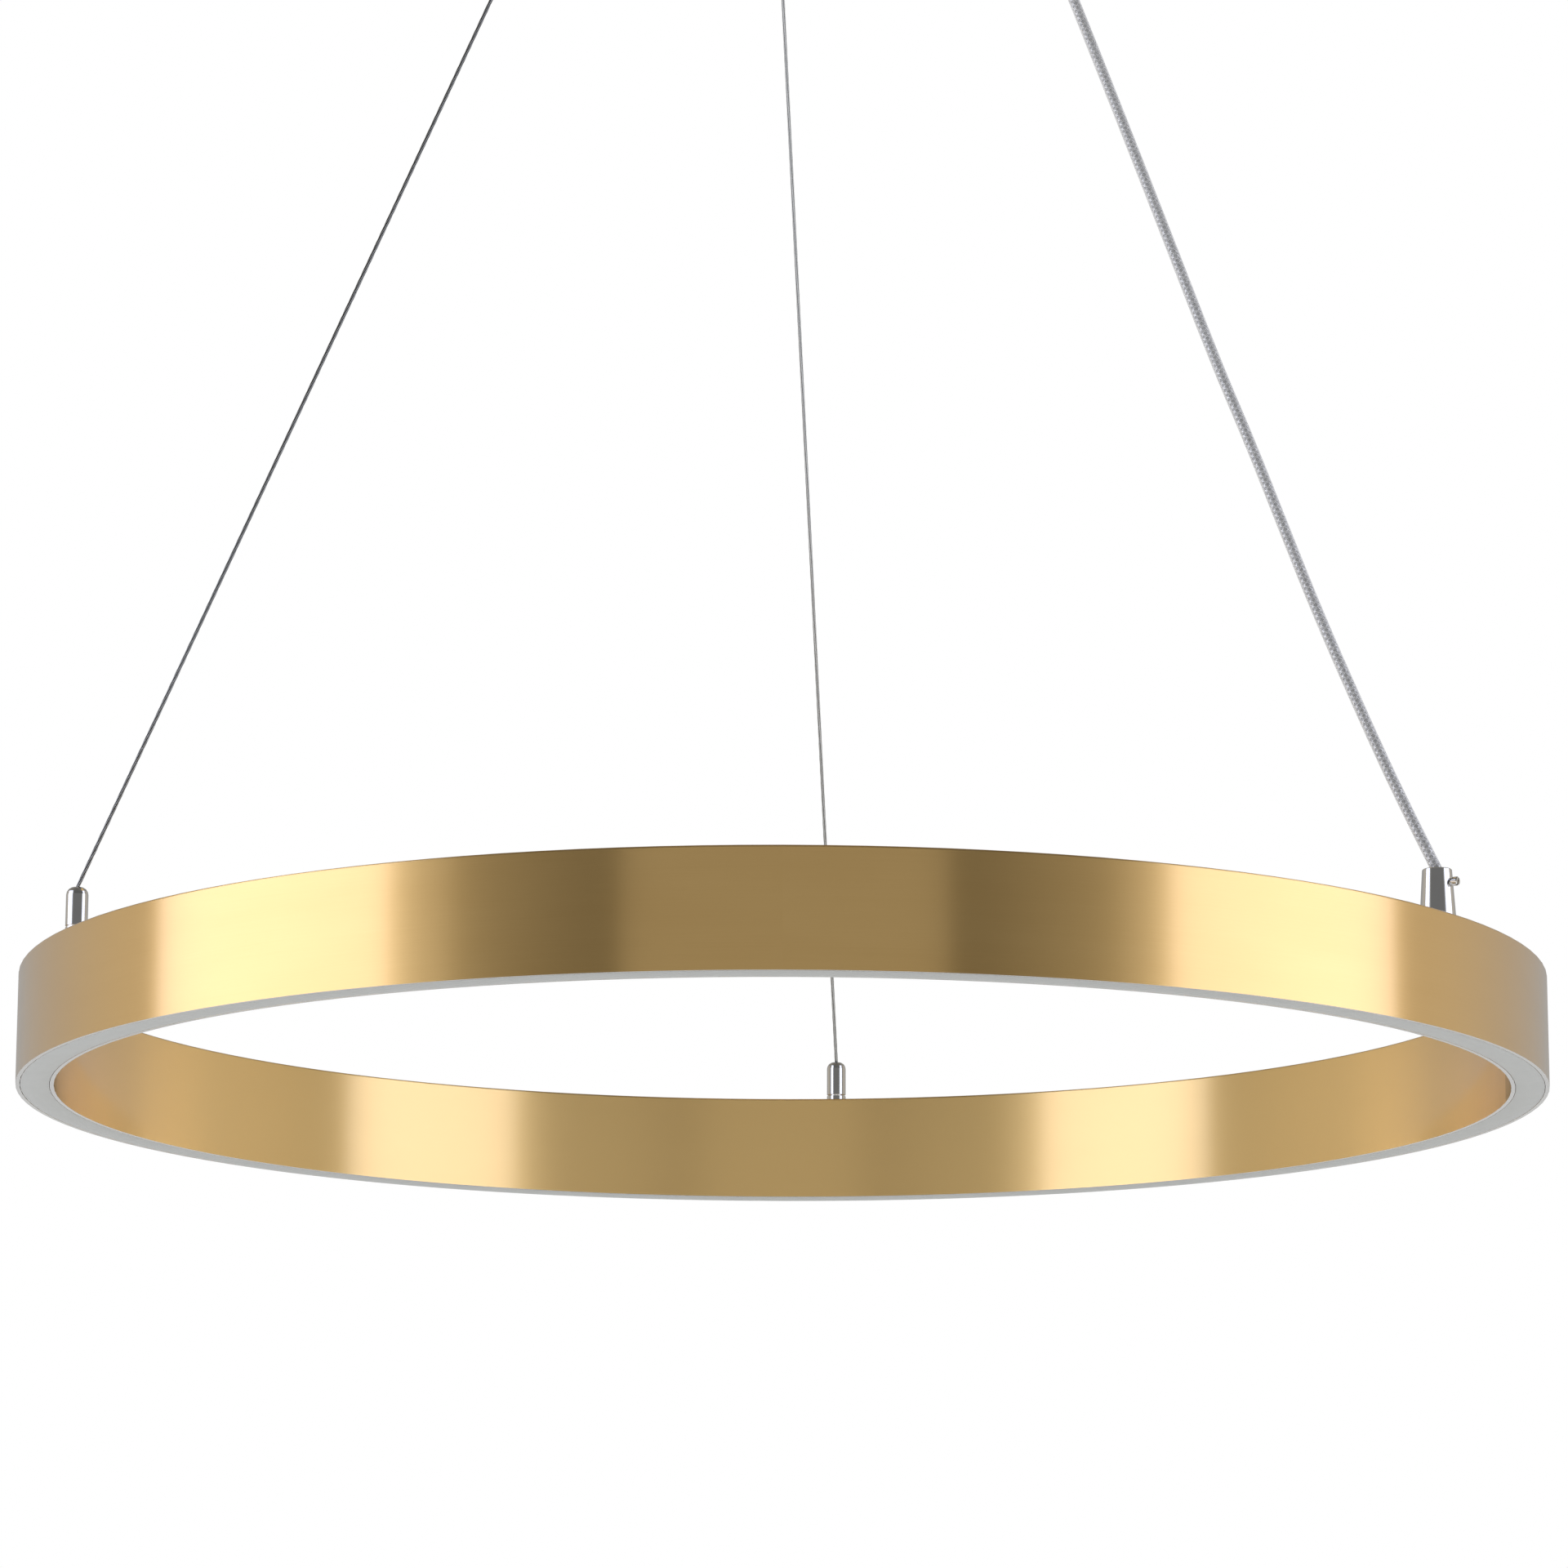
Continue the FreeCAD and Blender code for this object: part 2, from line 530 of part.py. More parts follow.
# ---- cable grippers under the canopy ----------------------------------------------------------
# heights here are above the canopy's underside
GRIPPER_MOUTH = PLUNGER_NOSE + PLUNGER_TRAVEL - FITTING_HEIGHT
GRIPPER_TOP = CANOPY_WALL + GRIPPER_INSIDE
CONE_TOP = GUIDE_TOP + CONE_LENGTH
BALL_HEIGHT = GUIDE_TOP + BALL_UP_CONE
PLUNGER_TOP = BALL_HEIGHT + SLEEVE_ABOVE_BALLS
BALL_CIRCLE = CABLE_DIAMETER / 2 + GRIP_BALL / 2 + BALL_ROOM


def gripper_foot(name):
    """Point on the canopy's underside where a gripper stands."""
    at = canopy_point(name)
    return Vector(at.x, at.y, FACE_Z)


def gripper_body(name):
    """Barrel with its flange under the canopy, guide bore, clamping cone and spring room."""
    barrel, flange = GRIPPER_BARREL / 2, GRIPPER_FLANGE / 2
    guide = PLUNGER_DIAMETER / 2 + PLUNGER_FIT
    taper = math.tan(math.radians(CONE_ANGLE))
    at_balls = BALL_CIRCLE + GRIP_BALL / 2 / math.cos(math.radians(CONE_ANGLE)) + BALL_ROOM
    cone_foot = at_balls - BALL_UP_CONE * taper
    cone_head = cone_foot + CONE_LENGTH * taper
    cable_way = CABLE_DIAMETER / 2 + CABLE_FIT
    lid = GRIPPER_TOP - GRIPPER_LID
    outline = [(guide, GRIPPER_MOUTH), (barrel, GRIPPER_MOUTH), (barrel, -GRIPPER_FLANGE_HEIGHT),
               (flange, -GRIPPER_FLANGE_HEIGHT), (flange, 0), (barrel, 0), (barrel, GRIPPER_TOP),
               (cable_way, GRIPPER_TOP), (cable_way, lid), (cone_head, lid), (cone_head, CONE_TOP),
               (cone_foot, GUIDE_TOP), (guide, GUIDE_TOP)]
    return turned(outline, gripper_foot(name))


def gripper_plunger(name):
    """Push-to-release sleeve with three holes for the balls."""
    r, bore = PLUNGER_DIAMETER / 2, CABLE_DIAMETER / 2 + CABLE_FIT
    tip = -FITTING_HEIGHT
    outline = [(bore + NOSE_FLARE, tip), (r, tip), (r, PLUNGER_TOP), (bore, PLUNGER_TOP),
               (bore, tip + NOSE_FLARE_DEPTH)]
    sleeve = turned(outline, gripper_foot(name))
    foot = gripper_foot(name)
    for k in range(3):
        outward = around(1, 120 * k + 60)
        sleeve = sleeve.cut(Part.makeCylinder(GRIP_BALL / 2 + BALL_ROOM, r + 1,
                                              foot + Vector(0, 0, BALL_HEIGHT), outward))
    return sleeve


def gripper_balls(name):
    """Three clamping balls between the cable and the cone."""
    foot = gripper_foot(name)
    return group([Part.makeSphere(GRIP_BALL / 2, foot + around(BALL_CIRCLE, 120 * k + 60, BALL_HEIGHT))
                  for k in range(3)])


def gripper_spring(name):
    """Coil spring that pushes the plunger and its balls down into the cone."""
    low = PLUNGER_TOP + SPRING_WIRE / 2
    high = GRIPPER_TOP - GRIPPER_LID - SPRING_WIRE / 2
    coil_r = PLUNGER_DIAMETER / 2 - SPRING_WIRE
    pitch = (high - low) / SPRING_TURNS
    helix = Part.makeHelix(pitch, high - low, coil_r)
    climb = Vector(0, 1, pitch / (2 * math.pi * coil_r))
    circle = Part.Circle(Vector(coil_r, 0, 0), climb, SPRING_WIRE / 2)
    spring = Part.Wire(helix.Edges).makePipeShell([Part.Wire(circle.toShape())], True, True)
    spring.translate(gripper_foot(name) + Vector(0, 0, low))
    return spring


def gripper_nuts():
    """Nuts that hold the grippers in the canopy."""
    bore = GRIPPER_BARREL + 2 * NUT_CLEARANCE
    return group([hex_nut(HEX_NUT_FLATS, bore, CANOPY_WALL, HEX_NUT_HEIGHT, gripper_foot(name))
                  for name in ("rear", "left")])


def cable_tails():
    """The upper ends of the two cables, through their grippers."""
    low, high = END_GAP / 2 - FITTING_HEIGHT, GRIPPER_TOP + TAIL_LENGTH
    return group([rod(CABLE_DIAMETER, low, high, gripper_foot(name)) for name in ("rear", "left")])


# ---- the canopy -------------------------------------------------------------------------------
def canopy_cup():
    """Spun pan, open towards the ceiling, with holes for the hangers and the side screws."""
    r, c, w = CANOPY_DIAMETER / 2, CANOPY_CORNER, CANOPY_WALL
    outline = [(0, FACE_Z), (r - c, FACE_Z), (r, FACE_Z + c), (r, 0),
               (r - w, 0), (r - w, FACE_Z + c), (r - c, FACE_Z + w), (0, FACE_Z + w)]
    points = [Vector(x, 0, z) for x, z in outline]
    middle = Vector(r - c, 0, FACE_Z + c)
    corner = Vector(1, 0, -1).normalize()
    edges = [Part.LineSegment(points[0], points[1]).toShape(),
             Part.Arc(points[1], middle + corner * c, points[2]).toShape(),
             Part.LineSegment(points[2], points[3]).toShape(),
             Part.LineSegment(points[3], points[4]).toShape(),
             Part.LineSegment(points[4], points[5]).toShape(),
             Part.Arc(points[5], middle + corner * (c - w), points[6]).toShape(),
             Part.LineSegment(points[6], points[7]).toShape(),
             Part.LineSegment(points[7], points[0]).toShape()]
    pan = Part.Face(Part.Wire(edges)).revolve(Vector(), Vector(0, 0, 1), 360)
    for name in STRANDS:
        stem = GRIP_STEM if name == "cord" else GRIPPER_BARREL
        pan = pan.cut(rod(stem + 2 * NUT_CLEARANCE, -1, w + 1, gripper_foot(name)))
    side = Vector(-r - 1, 0, -SIDE_SCREW_DEPTH)
    return pan.cut(Part.makeCylinder(SIDE_SCREW / 2 + NUT_CLEARANCE, 2 * r + 2, side, Vector(1, 0, 0)))


def mounting_bracket():
    """Pressed strip on the ceiling with two slots, a centre hole and bent ends."""
    reach = CANOPY_DIAMETER / 2 - CANOPY_WALL - BRACKET_GAP
    end = math.sqrt(reach ** 2 - (BRACKET_WIDTH / 2) ** 2)
    under, above = -BRACKET_THICKNESS - 1, 1
    strip = box(Vector(2 * end, BRACKET_WIDTH, BRACKET_THICKNESS), Vector(), -BRACKET_THICKNESS)
    tab = Vector(BRACKET_THICKNESS, BRACKET_WIDTH, BRACKET_TAB)
    straight = Vector(CEILING_SLOT_LENGTH - CEILING_SLOT, 0, 0)
    slot = Vector(straight.x, CEILING_SLOT, above - under)
    for side in (-1, 1):
        strip = strip.fuse(box(tab, Vector(side * (end - BRACKET_THICKNESS / 2), 0, 0), -BRACKET_TAB))
        middle = Vector(side * SLOT_SPACING / 2, 0, 0)
        strip = strip.cut(box(slot, middle, under))
        strip = strip.cut(rod(CEILING_SLOT, under, above, middle - straight / 2))
        strip = strip.cut(rod(CEILING_SLOT, under, above, middle + straight / 2))
    screw_hole = SIDE_SCREW + 2 * NUT_CLEARANCE
    strip = strip.cut(rod(CENTRE_HOLE, under, above))
    strip = strip.cut(rod(screw_hole, under, above, Vector(EARTH_SCREW_X, 0, 0)))
    tapped = rod(screw_hole, -reach - 1, reach + 1, Vector(0, 0, -SIDE_SCREW_DEPTH), Vector(1, 0, 0))
    return strip.cut(tapped).removeSplitter()


def side_screws():
    """Knurled screws through the canopy's side into the bracket's bent ends."""
    r = CANOPY_DIAMETER / 2
    screws = []
    for side in (-1, 1):
        axis = Vector(side, 0, 0)
        at = Vector(0, 0, -SIDE_SCREW_DEPTH)
        shank = rod(SIDE_SCREW, r - SIDE_SCREW_REACH, r, at, axis)
        head = rod(SIDE_SCREW_HEAD, r, r + SIDE_SCREW_HEAD_LENGTH, at, axis)
        for k in range(KNURLS):
            a = 2 * math.pi * k / KNURLS
            groove = at + Vector(0, math.cos(a), math.sin(a)) * (SIDE_SCREW_HEAD / 2 + KNURL_OFFSET)
            head = head.cut(rod(KNURL_GROOVE, r - 1, r + SIDE_SCREW_HEAD_LENGTH + 1, groove, axis))
        screws.append(shank.fuse(head))
    return group(screws)


def driver_place():
    """Middle and length of the LED driver, which lies between the two front hangers."""
    left, right = canopy_point("left"), canopy_point("cord")
    half = min(-left.x, right.x) - HEX_NUT_FLATS / 2 - DRIVER_GAP - DRIVER_EAR
    return Vector(0, (left.y + right.y) / 2, 0), 2 * half


def ear_places():
    """Middles of the driver's two fixing ears."""
    middle, length = driver_place()
    reach = (length + DRIVER_EAR) / 2
    return [middle + Vector(side * reach, -EAR_OFFSET, 0) for side in (-1, 1)]


def driver_case():
    """The LED driver, with a fixing ear at each end."""
    middle, length = driver_place()
    case = box(Vector(length, DRIVER_DEPTH, DRIVER_HEIGHT), middle, FLOOR_Z)
    upright = [e for e in case.Edges if abs(e.Vertexes[0].Z - e.Vertexes[1].Z) > DRIVER_HEIGHT / 2]
    case = case.makeFillet(DRIVER_EDGE, upright)
    for place in ear_places():
        ear = box(Vector(DRIVER_EAR, EAR_WIDTH, EAR_THICKNESS), place, FLOOR_Z)
        hole = rod(EAR_SCREW + 2 * NUT_CLEARANCE, FLOOR_Z - 1, FLOOR_Z + EAR_THICKNESS + 1, place)
        case = case.fuse(ear.cut(hole))
    return case.removeSplitter()


def driver_screws():
    """Screws through the driver's ears into the canopy."""
    ear_top = FLOOR_Z + EAR_THICKNESS
    head_top = ear_top + EAR_SCREW_HEAD_HEIGHT
    return group([rod(EAR_SCREW, FLOOR_Z, ear_top, at).fuse(rod(EAR_SCREW_HEAD, ear_top, head_top, at))
                  for at in ear_places()])


def terminal_pole(place):
    """One pole of the mains terminal: a push-in entry and a release slot towards the ceiling."""
    top = FLOOR_Z + TERMINAL_HEIGHT
    body = box(Vector(POLE_WIDTH, TERMINAL_DEPTH, TERMINAL_HEIGHT), place, FLOOR_Z)
    entry = place + Vector(0, ENTRY_OFFSET, 0)
    release = box(Vector(RELEASE_WIDTH, RELEASE_LENGTH, RELEASE_DEPTH + 1),
                  place - Vector(0, ENTRY_OFFSET, 0), top - RELEASE_DEPTH)
    return body.cut(rod(WIRE_ENTRY, top - WIRE_ENTRY_DEPTH, top + 1, entry)).cut(release)


def terminal_block():
    """The three poles side by side."""
    middle = Vector(TERMINAL_X, TERMINAL_Y, 0)
    return group([terminal_pole(middle + Vector(pole * POLE_WIDTH, 0, 0)) for pole in (-1, 0, 1)])


def mains_lead():
    """Lead from the terminal block to the driver."""
    x, z = TERMINAL_X, FLOOR_Z + LEAD_HEIGHT
    start = TERMINAL_Y - TERMINAL_DEPTH / 2
    end = driver_place()[0].y + DRIVER_DEPTH / 2
    points = [Vector(x, start, z), Vector(x, start - LEAD_RUN, z),
              Vector(x + LEAD_SHIFT, end + LEAD_DRIVER_RUN, z), Vector(x + LEAD_SHIFT, end, z)]
    return tube(points, [LEAD_BEND, LEAD_BEND], MAINS_LEAD)


def earth_screw():
    """Earth screw and washer under the bracket."""
    at = Vector(EARTH_SCREW_X, 0, -BRACKET_THICKNESS)
    head_top = -EARTH_WASHER_THICKNESS
    head = rod(EARTH_SCREW_HEAD, head_top - EARTH_SCREW_HEAD_HEIGHT, head_top, at)
    return rod(SIDE_SCREW, 0, BRACKET_THICKNESS, at).fuse(rod(EARTH_WASHER, head_top, 0, at)).fuse(head)


def earth_wire():
    """Wire from the terminal block to the earth screw's washer."""
    start = Vector(TERMINAL_X - TERMINAL_LENGTH / 2, TERMINAL_Y, FLOOR_Z + EARTH_WIRE_HEIGHT)
    end = Vector(EARTH_SCREW_X, EARTH_WASHER / 2, -BRACKET_THICKNESS - EARTH_WIRE / 2)
    below, risen = Vector(end.x, start.y, start.z), Vector(end.x, EARTH_WIRE_RISE, end.z)
    return tube([start, below, risen, end], [EARTH_WIRE_BEND, EARTH_WIRE_BEND], EARTH_WIRE)


def cord_tail():
    """The cord's upper end: through its grip, over in a bend, into the driver."""
    at = canopy_point("cord")
    level = FLOOR_Z + DRIVER_HEIGHT - CORD_DIAMETER
    driver_end = Vector(driver_place()[1] / 2, at.y, level)
    points = [Vector(at.x, at.y, HANG_Z + END_GAP), Vector(at.x, at.y, level), driver_end]
    return tube(points, [CORD_BEND], CORD_DIAMETER)


# ---- every sub-part ---------------------------------------------------------------------------
ring_grip_at, canopy_grip_at = ring_point("cord"), canopy_point("cord")

save("ring_housing", ring_housing())
save("diffuser", diffuser())
save("led_carrier", led_carrier())
save("led_board", led_board())
save("led_chips", led_chips())
for place in ("rear", "left"):
    save(f"{place}_fitting_base", fitting_base(place))
    save(f"{place}_fitting_cap", fitting_cap(place))
    save(f"{place}_cable_stop", cable_stop(place))
    save(f"{place}_cable", steel_cable(place))
    save(f"{place}_gripper_body", gripper_body(place))
    save(f"{place}_gripper_plunger", gripper_plunger(place))
    save(f"{place}_gripper_balls", gripper_balls(place))
    save(f"{place}_gripper_spring", gripper_spring(place))
save("stud_nuts", stud_nuts())
save("gripper_nuts", gripper_nuts())
save("cable_tails", cable_tails())
save("ring_cord_grip", cord_grip(ring_grip_at, 1, WEB))
save("ring_grip_screw", grip_screw(ring_grip_at, 1))
save("ring_grip_nut", grip_nut(ring_grip_at, 1, WEB))
save("ring_cord_end", ring_cord_end())
save("feed_wires", feed_wires())
save("power_cord", power_cord())
save("canopy_cord_grip", cord_grip(canopy_grip_at, -1, CANOPY_WALL))
save("canopy_grip_screw", grip_screw(canopy_grip_at, -1))
save("canopy_grip_nut", grip_nut(canopy_grip_at, -1, CANOPY_WALL))
save("cord_tail", cord_tail())
save("canopy_cup", canopy_cup())
save("mounting_bracket", mounting_bracket())
save("side_screws", side_screws())
save("driver_case", driver_case())
save("driver_screws", driver_screws())
save("terminal_block", terminal_block())
save("mains_lead", mains_lead())
save("earth_screw", earth_screw())
save("earth_wire", earth_wire())
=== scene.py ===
# %% [markdown]
# # A gold ring lamp on two steel cables and a clear cord
#
# This file dresses a hanging ring lamp: a slim rolled channel of gold anodised aluminium with an opal
# strip in its underside. Two twisted steel cables and one clear cord hold it under a round canopy.
# The rigid pieces come ready made, at their real size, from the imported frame. What is left to make here
# is what light does to them: the finishes, the wires of the cables, the braid in the cord, and a small
# photo studio.
#
# The origin is on the ceiling, Z points up, and the photographer stands on the side of -Y. Lengths are
# in metres, so one millimetre is written as 1 * MM.

# %% Load the frame
import json
import math

import bpy
from mathutils import Matrix, Vector


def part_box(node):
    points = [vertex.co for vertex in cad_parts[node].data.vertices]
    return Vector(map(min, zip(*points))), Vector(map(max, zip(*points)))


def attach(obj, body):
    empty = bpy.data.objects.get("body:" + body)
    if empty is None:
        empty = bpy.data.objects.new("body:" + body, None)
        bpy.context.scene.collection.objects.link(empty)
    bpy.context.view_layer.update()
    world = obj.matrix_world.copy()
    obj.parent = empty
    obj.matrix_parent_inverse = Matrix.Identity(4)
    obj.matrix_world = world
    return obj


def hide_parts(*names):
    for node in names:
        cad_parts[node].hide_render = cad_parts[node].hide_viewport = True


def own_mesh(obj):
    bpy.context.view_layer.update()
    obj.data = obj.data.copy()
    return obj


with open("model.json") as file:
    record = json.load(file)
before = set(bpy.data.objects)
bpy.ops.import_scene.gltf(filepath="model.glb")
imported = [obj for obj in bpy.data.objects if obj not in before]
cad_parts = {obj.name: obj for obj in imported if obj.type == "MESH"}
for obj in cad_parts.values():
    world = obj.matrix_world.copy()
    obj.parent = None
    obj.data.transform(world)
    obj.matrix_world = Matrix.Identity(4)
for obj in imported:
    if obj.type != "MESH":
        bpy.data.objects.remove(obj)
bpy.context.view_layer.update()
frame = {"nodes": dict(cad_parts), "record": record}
nodes = frame["nodes"]
MM = 0.001

# %% [markdown]
# ## Where things are
#
# The finishes and the cables need a few sizes of the lamp. The ring's own are read from its box, so they
# follow the model. The three hanging points can't be read from a box, because the grippers and grips are
# wider than what hangs from them, so they are worked out as the model does: three points on a circle
# under the canopy, and three on the middle line of the ring, which is turned by seven degrees against it.

# %% Sizes of the lamp
low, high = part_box("ring_housing")
RING_RADIUS, RING_TOP = high.x, high.z
CHANNEL_WIDTH = 15.0 * MM
RING_MIDDLE_RADIUS = RING_RADIUS - CHANNEL_WIDTH / 2
FITTING_HEIGHT = 17.7 * MM
MOUTH_HEIGHT = RING_TOP + FITTING_HEIGHT
HANGER_RADIUS = 90.0 * MM
HANGER_HEIGHT = -47.7 * MM
CABLE_DIAMETER = 1.5 * MM
CORD_DIAMETER = 4.3 * MM
STRANDS = {"rear": 0.0, "cord": 120.0, "left": -120.0}
CANOPY_TURN, RING_TURN = -2.3, 4.7
UPPER_GAP, LOWER_GAP = 0.3 * MM, 0.35 * MM


def around(radius, degrees, z):
    """The point at that angle from +Y towards +X."""
    a = math.radians(degrees)
    return Vector((radius * math.sin(a), radius * math.cos(a), z))


def strand_ends(name):
    """Upper and lower end of a strand, just clear of the mouths that hold it."""
    upper = around(HANGER_RADIUS, STRANDS[name] + CANOPY_TURN, HANGER_HEIGHT)
    lower = around(RING_MIDDLE_RADIUS, STRANDS[name] + RING_TURN, MOUTH_HEIGHT)
    along = (lower - upper).normalized()
    return upper + along * UPPER_GAP, lower + along * LOWER_GAP


print(f"the ring is {2 * RING_RADIUS:.3f} m across and {high.z - low.z:.4f} m high")
for name in STRANDS:
    upper, lower = strand_ends(name)
    print(f"{name:5s} from {[round(c, 4) for c in upper]}, {(lower - upper).length:.4f} m")

# %% [markdown]
# ## The camera
#
# The photograph was taken from below the ring, looking a little up, with a long lens: the ring's near and
# far sides are almost the same size. A camera could be placed by eye until the picture looks right. Here
# the four ellipses of the ring's edges fix it instead: 2.26 m in front of the ring's axis, 0.94 m below
# the ceiling and tilted up by 11.8 degrees.

# %% Camera
CAMERA_PLACE = (0.0003, -2.2554, -0.9374)
TILT_UP, ROLL = 0.2055, 0.0024
FOCAL_PIXELS, PICTURE_PIXELS = 6955, 1920
lens = bpy.data.cameras.new("photo_camera")
lens.sensor_width = 36.0
lens.lens = FOCAL_PIXELS * lens.sensor_width / PICTURE_PIXELS
camera = bpy.data.objects.new("photo_camera", lens)
bpy.context.scene.collection.objects.link(camera)
tilt = Matrix.Rotation(math.radians(90) + TILT_UP, 4, "X")
camera.matrix_world = Matrix.Translation(CAMERA_PLACE) @ tilt @ Matrix.Rotation(ROLL, 4, "Z")
bpy.context.scene.camera = camera
print("camera at", [round(c, 4) for c in camera.location], "with a lens of", round(lens.lens, 1), "mm")

# %% [markdown]
# ## Writing a finish as arithmetic
#
# A node material is a small calculation, and it reads best as one. Channel wraps an output socket, so
# that `1 - mask * 0.5` adds the Math nodes that it says, and `height < top` gives 1 where it is true.
# Made holds a node that was added, and hands out its outputs as channels.

# %% Channel and Made
class Channel:
    """One output of a node, which can be added, multiplied, compared and so on."""

    def __init__(self, finish, socket):
        self.finish, self.socket = finish, socket

    def math(self, operation, first, second):
        return self.finish.node("ShaderNodeMath", {"operation": operation}, {0: first, 1: second}).out()

    def __add__(self, other):
        return self.math("ADD", self, other)

    def __radd__(self, other):
        return self.math("ADD", other, self)

    def __sub__(self, other):
        return self.math("SUBTRACT", self, other)

    def __rsub__(self, other):
        return self.math("SUBTRACT", other, self)

    def __mul__(self, other):
        return self.math("MULTIPLY", self, other)

    def __rmul__(self, other):
        return self.math("MULTIPLY", other, self)

    def __pow__(self, other):
        return self.math("POWER", self, other)

    def __lt__(self, other):
        return self.math("LESS_THAN", self, other)

    def __gt__(self, other):
        return self.math("GREATER_THAN", self, other)


class Made:
    """A node that was added, from which outputs are taken."""

    def __init__(self, finish, node):
        self.finish, self.node = finish, node

    def out(self, name=0):
        return Channel(self.finish, self.node.outputs[name])


print("sockets can be added, taken away, multiplied and compared")

# %% [markdown]
# ## One tree, one object
#
# Finish holds one node tree, of a material or of the world. Its `node` method adds any node: its type,
# its settings, and what goes into its sockets. What nearly every finish here needs is kept beside it: a
# ramp, a colour between two others, a plain noise, a fine relief, and the surface that ends the tree.

# %% Finish
class Finish:
    """A node tree being written, for a material or for the world."""

    def __init__(self, name, owner=None):
        self.owner = owner or bpy.data.materials.new(name)
        self.owner.use_nodes = True
        self.tree = self.owner.node_tree
        self.tree.nodes.clear()

    def node(self, kind, settings=None, inputs=None):
        """Adds a node: settings first, then values or links into its sockets."""
        made = self.tree.nodes.new(kind)
        for key, value in (settings or {}).items():
            if key == "stops":
                self.fill_ramp(made.color_ramp, value)
            else:
                setattr(made, key, value)
        for key, value in (inputs or {}).items():
            socket = made.inputs[key]
            if isinstance(value, Channel):
                self.tree.links.new(value.socket, socket)
            elif hasattr(value, "__len__") and socket.type == "RGBA":
                socket.default_value = (*value[:3], 1.0)
            else:
                socket.default_value = value
        return Made(self, made)

    def fill_ramp(self, ramp, stops):
        """Sets a ramp's stops, as pairs of a position and a grey or a colour."""
        while len(ramp.elements) < len(stops):
            ramp.elements.new(1.0)
        for element, (position, shade) in zip(ramp.elements, stops):
            element.position = position
            element.color = (*shade, 1.0) if hasattr(shade, "__len__") else (shade, shade, shade, 1.0)

    def ramp(self, along, stops):
        """What a ramp with these stops gives for a channel from 0 to 1."""
        return self.node("ShaderNodeValToRGB", {"stops": stops}, {0: along}).out()

    def mix(self, share, first, second):
        """A colour between two others."""
        return self.node("ShaderNodeMix", {"data_type": "RGBA"}, {0: share, 6: first, 7: second}).out(2)

    def noise(self, size, detail=2.0):
        """Noise over the piece's own coordinates, with patches of about that size in metres."""
        point = self.node("ShaderNodeTexCoord").out("Object")
        return self.node("ShaderNodeTexNoise", {},
                         {"Vector": point, "Scale": 1 / size, "Detail": detail}).out()

    def relief(self, height, depth, strength):
        """The normal of a surface with bumps of that depth in metres."""
        return self.node("ShaderNodeBump", {},
                         {"Strength": strength, "Distance": depth, "Height": height}).out()

    def surface(self, **inputs):
        """Ends a material in one Principled shader; names use _ for a space."""
        sockets = {key.replace("_", " "): value for key, value in inputs.items()}
        shader = self.node("ShaderNodeBsdfPrincipled", {}, sockets).out()
        self.node("ShaderNodeOutputMaterial", {}, {"Surface": shader})
        return self.owner


finishes = {}
print("a finish can now be written in a few lines")

# %% [markdown]
# ## Where on the ring a point is
#
# The gold was brushed while the channel ran past the belt, so its grain follows the ring. A pattern in
# plain X, Y and Z can't do that. Three channels can: how far round the ring a point is, how far out, and
# how high. A noise that is slow along the first and quick along the others makes grain.

# %% Ring coordinates
def ring_place(finish):
    """Distance round the ring, distance from its axis and height, in metres."""
    point = finish.node("ShaderNodeTexCoord").out("Object")
    parts = finish.node("ShaderNodeSeparateXYZ", {}, {0: point})
    x, y, z = (parts.out(k) for k in range(3))
    turn = x.math("ARCTAN2", x, y)
    radius = (x * x + y * y) ** 0.5
    return turn * RING_RADIUS, radius, z


def grain(finish, place, lengths, detail):
    """Noise over the ring's own coordinates, each divided by its grain length in metres."""
    scaled = {k: channel * (1 / length) for k, (channel, length) in enumerate(zip(place, lengths))}
    vector = finish.node("ShaderNodeCombineXYZ", {}, scaled).out()
    return finish.node("ShaderNodeTexNoise", {"noise_dimensions": "3D"},
                       {"Vector": vector, "Scale": 1.0, "Detail": detail, "Roughness": 0.6}).out()


print(f"once round the ring is {math.tau * RING_RADIUS:.3f} m of grain")

# %% [markdown]
# ## Brushed gold
#
# The channel is aluminium, brushed and then anodised gold. Brushing leaves grooves a few hundredths of a
# millimetre apart, which smear a reflection across the grain and leave it sharp along it. Real grooves
# would take millions of faces, and a rough plain metal would blur both ways. Anisotropy does it on a
# smooth face, and its default direction already runs round the object's own axis. The fine noise adds
# the grooves that one can see, and a slow one makes some patches a little deeper in colour. The inner
# wall is painted a paler gold, as painted light that brightens its reflections. The channel's cut lower
# edges, beside the strip, are grey and dull, and painted dark besides, as painted shade on faces that
# look down.

# %% Brushed gold
DEEP_GOLD, FULL_GOLD = (0.77, 0.49, 0.175), (0.85, 0.57, 0.225)
# A paler gold for the inner wall: painted light, which makes its reflections brighter.
PAINTED_LIGHT_GOLD = (0.93, 0.66, 0.28)
# A dark grey for the cut lower edges: their bare grey metal, darkened further as painted shade.
CUT_EDGE_GREY_AND_SHADE = (0.25, 0.235, 0.20)
FACING_DOWN = -0.9


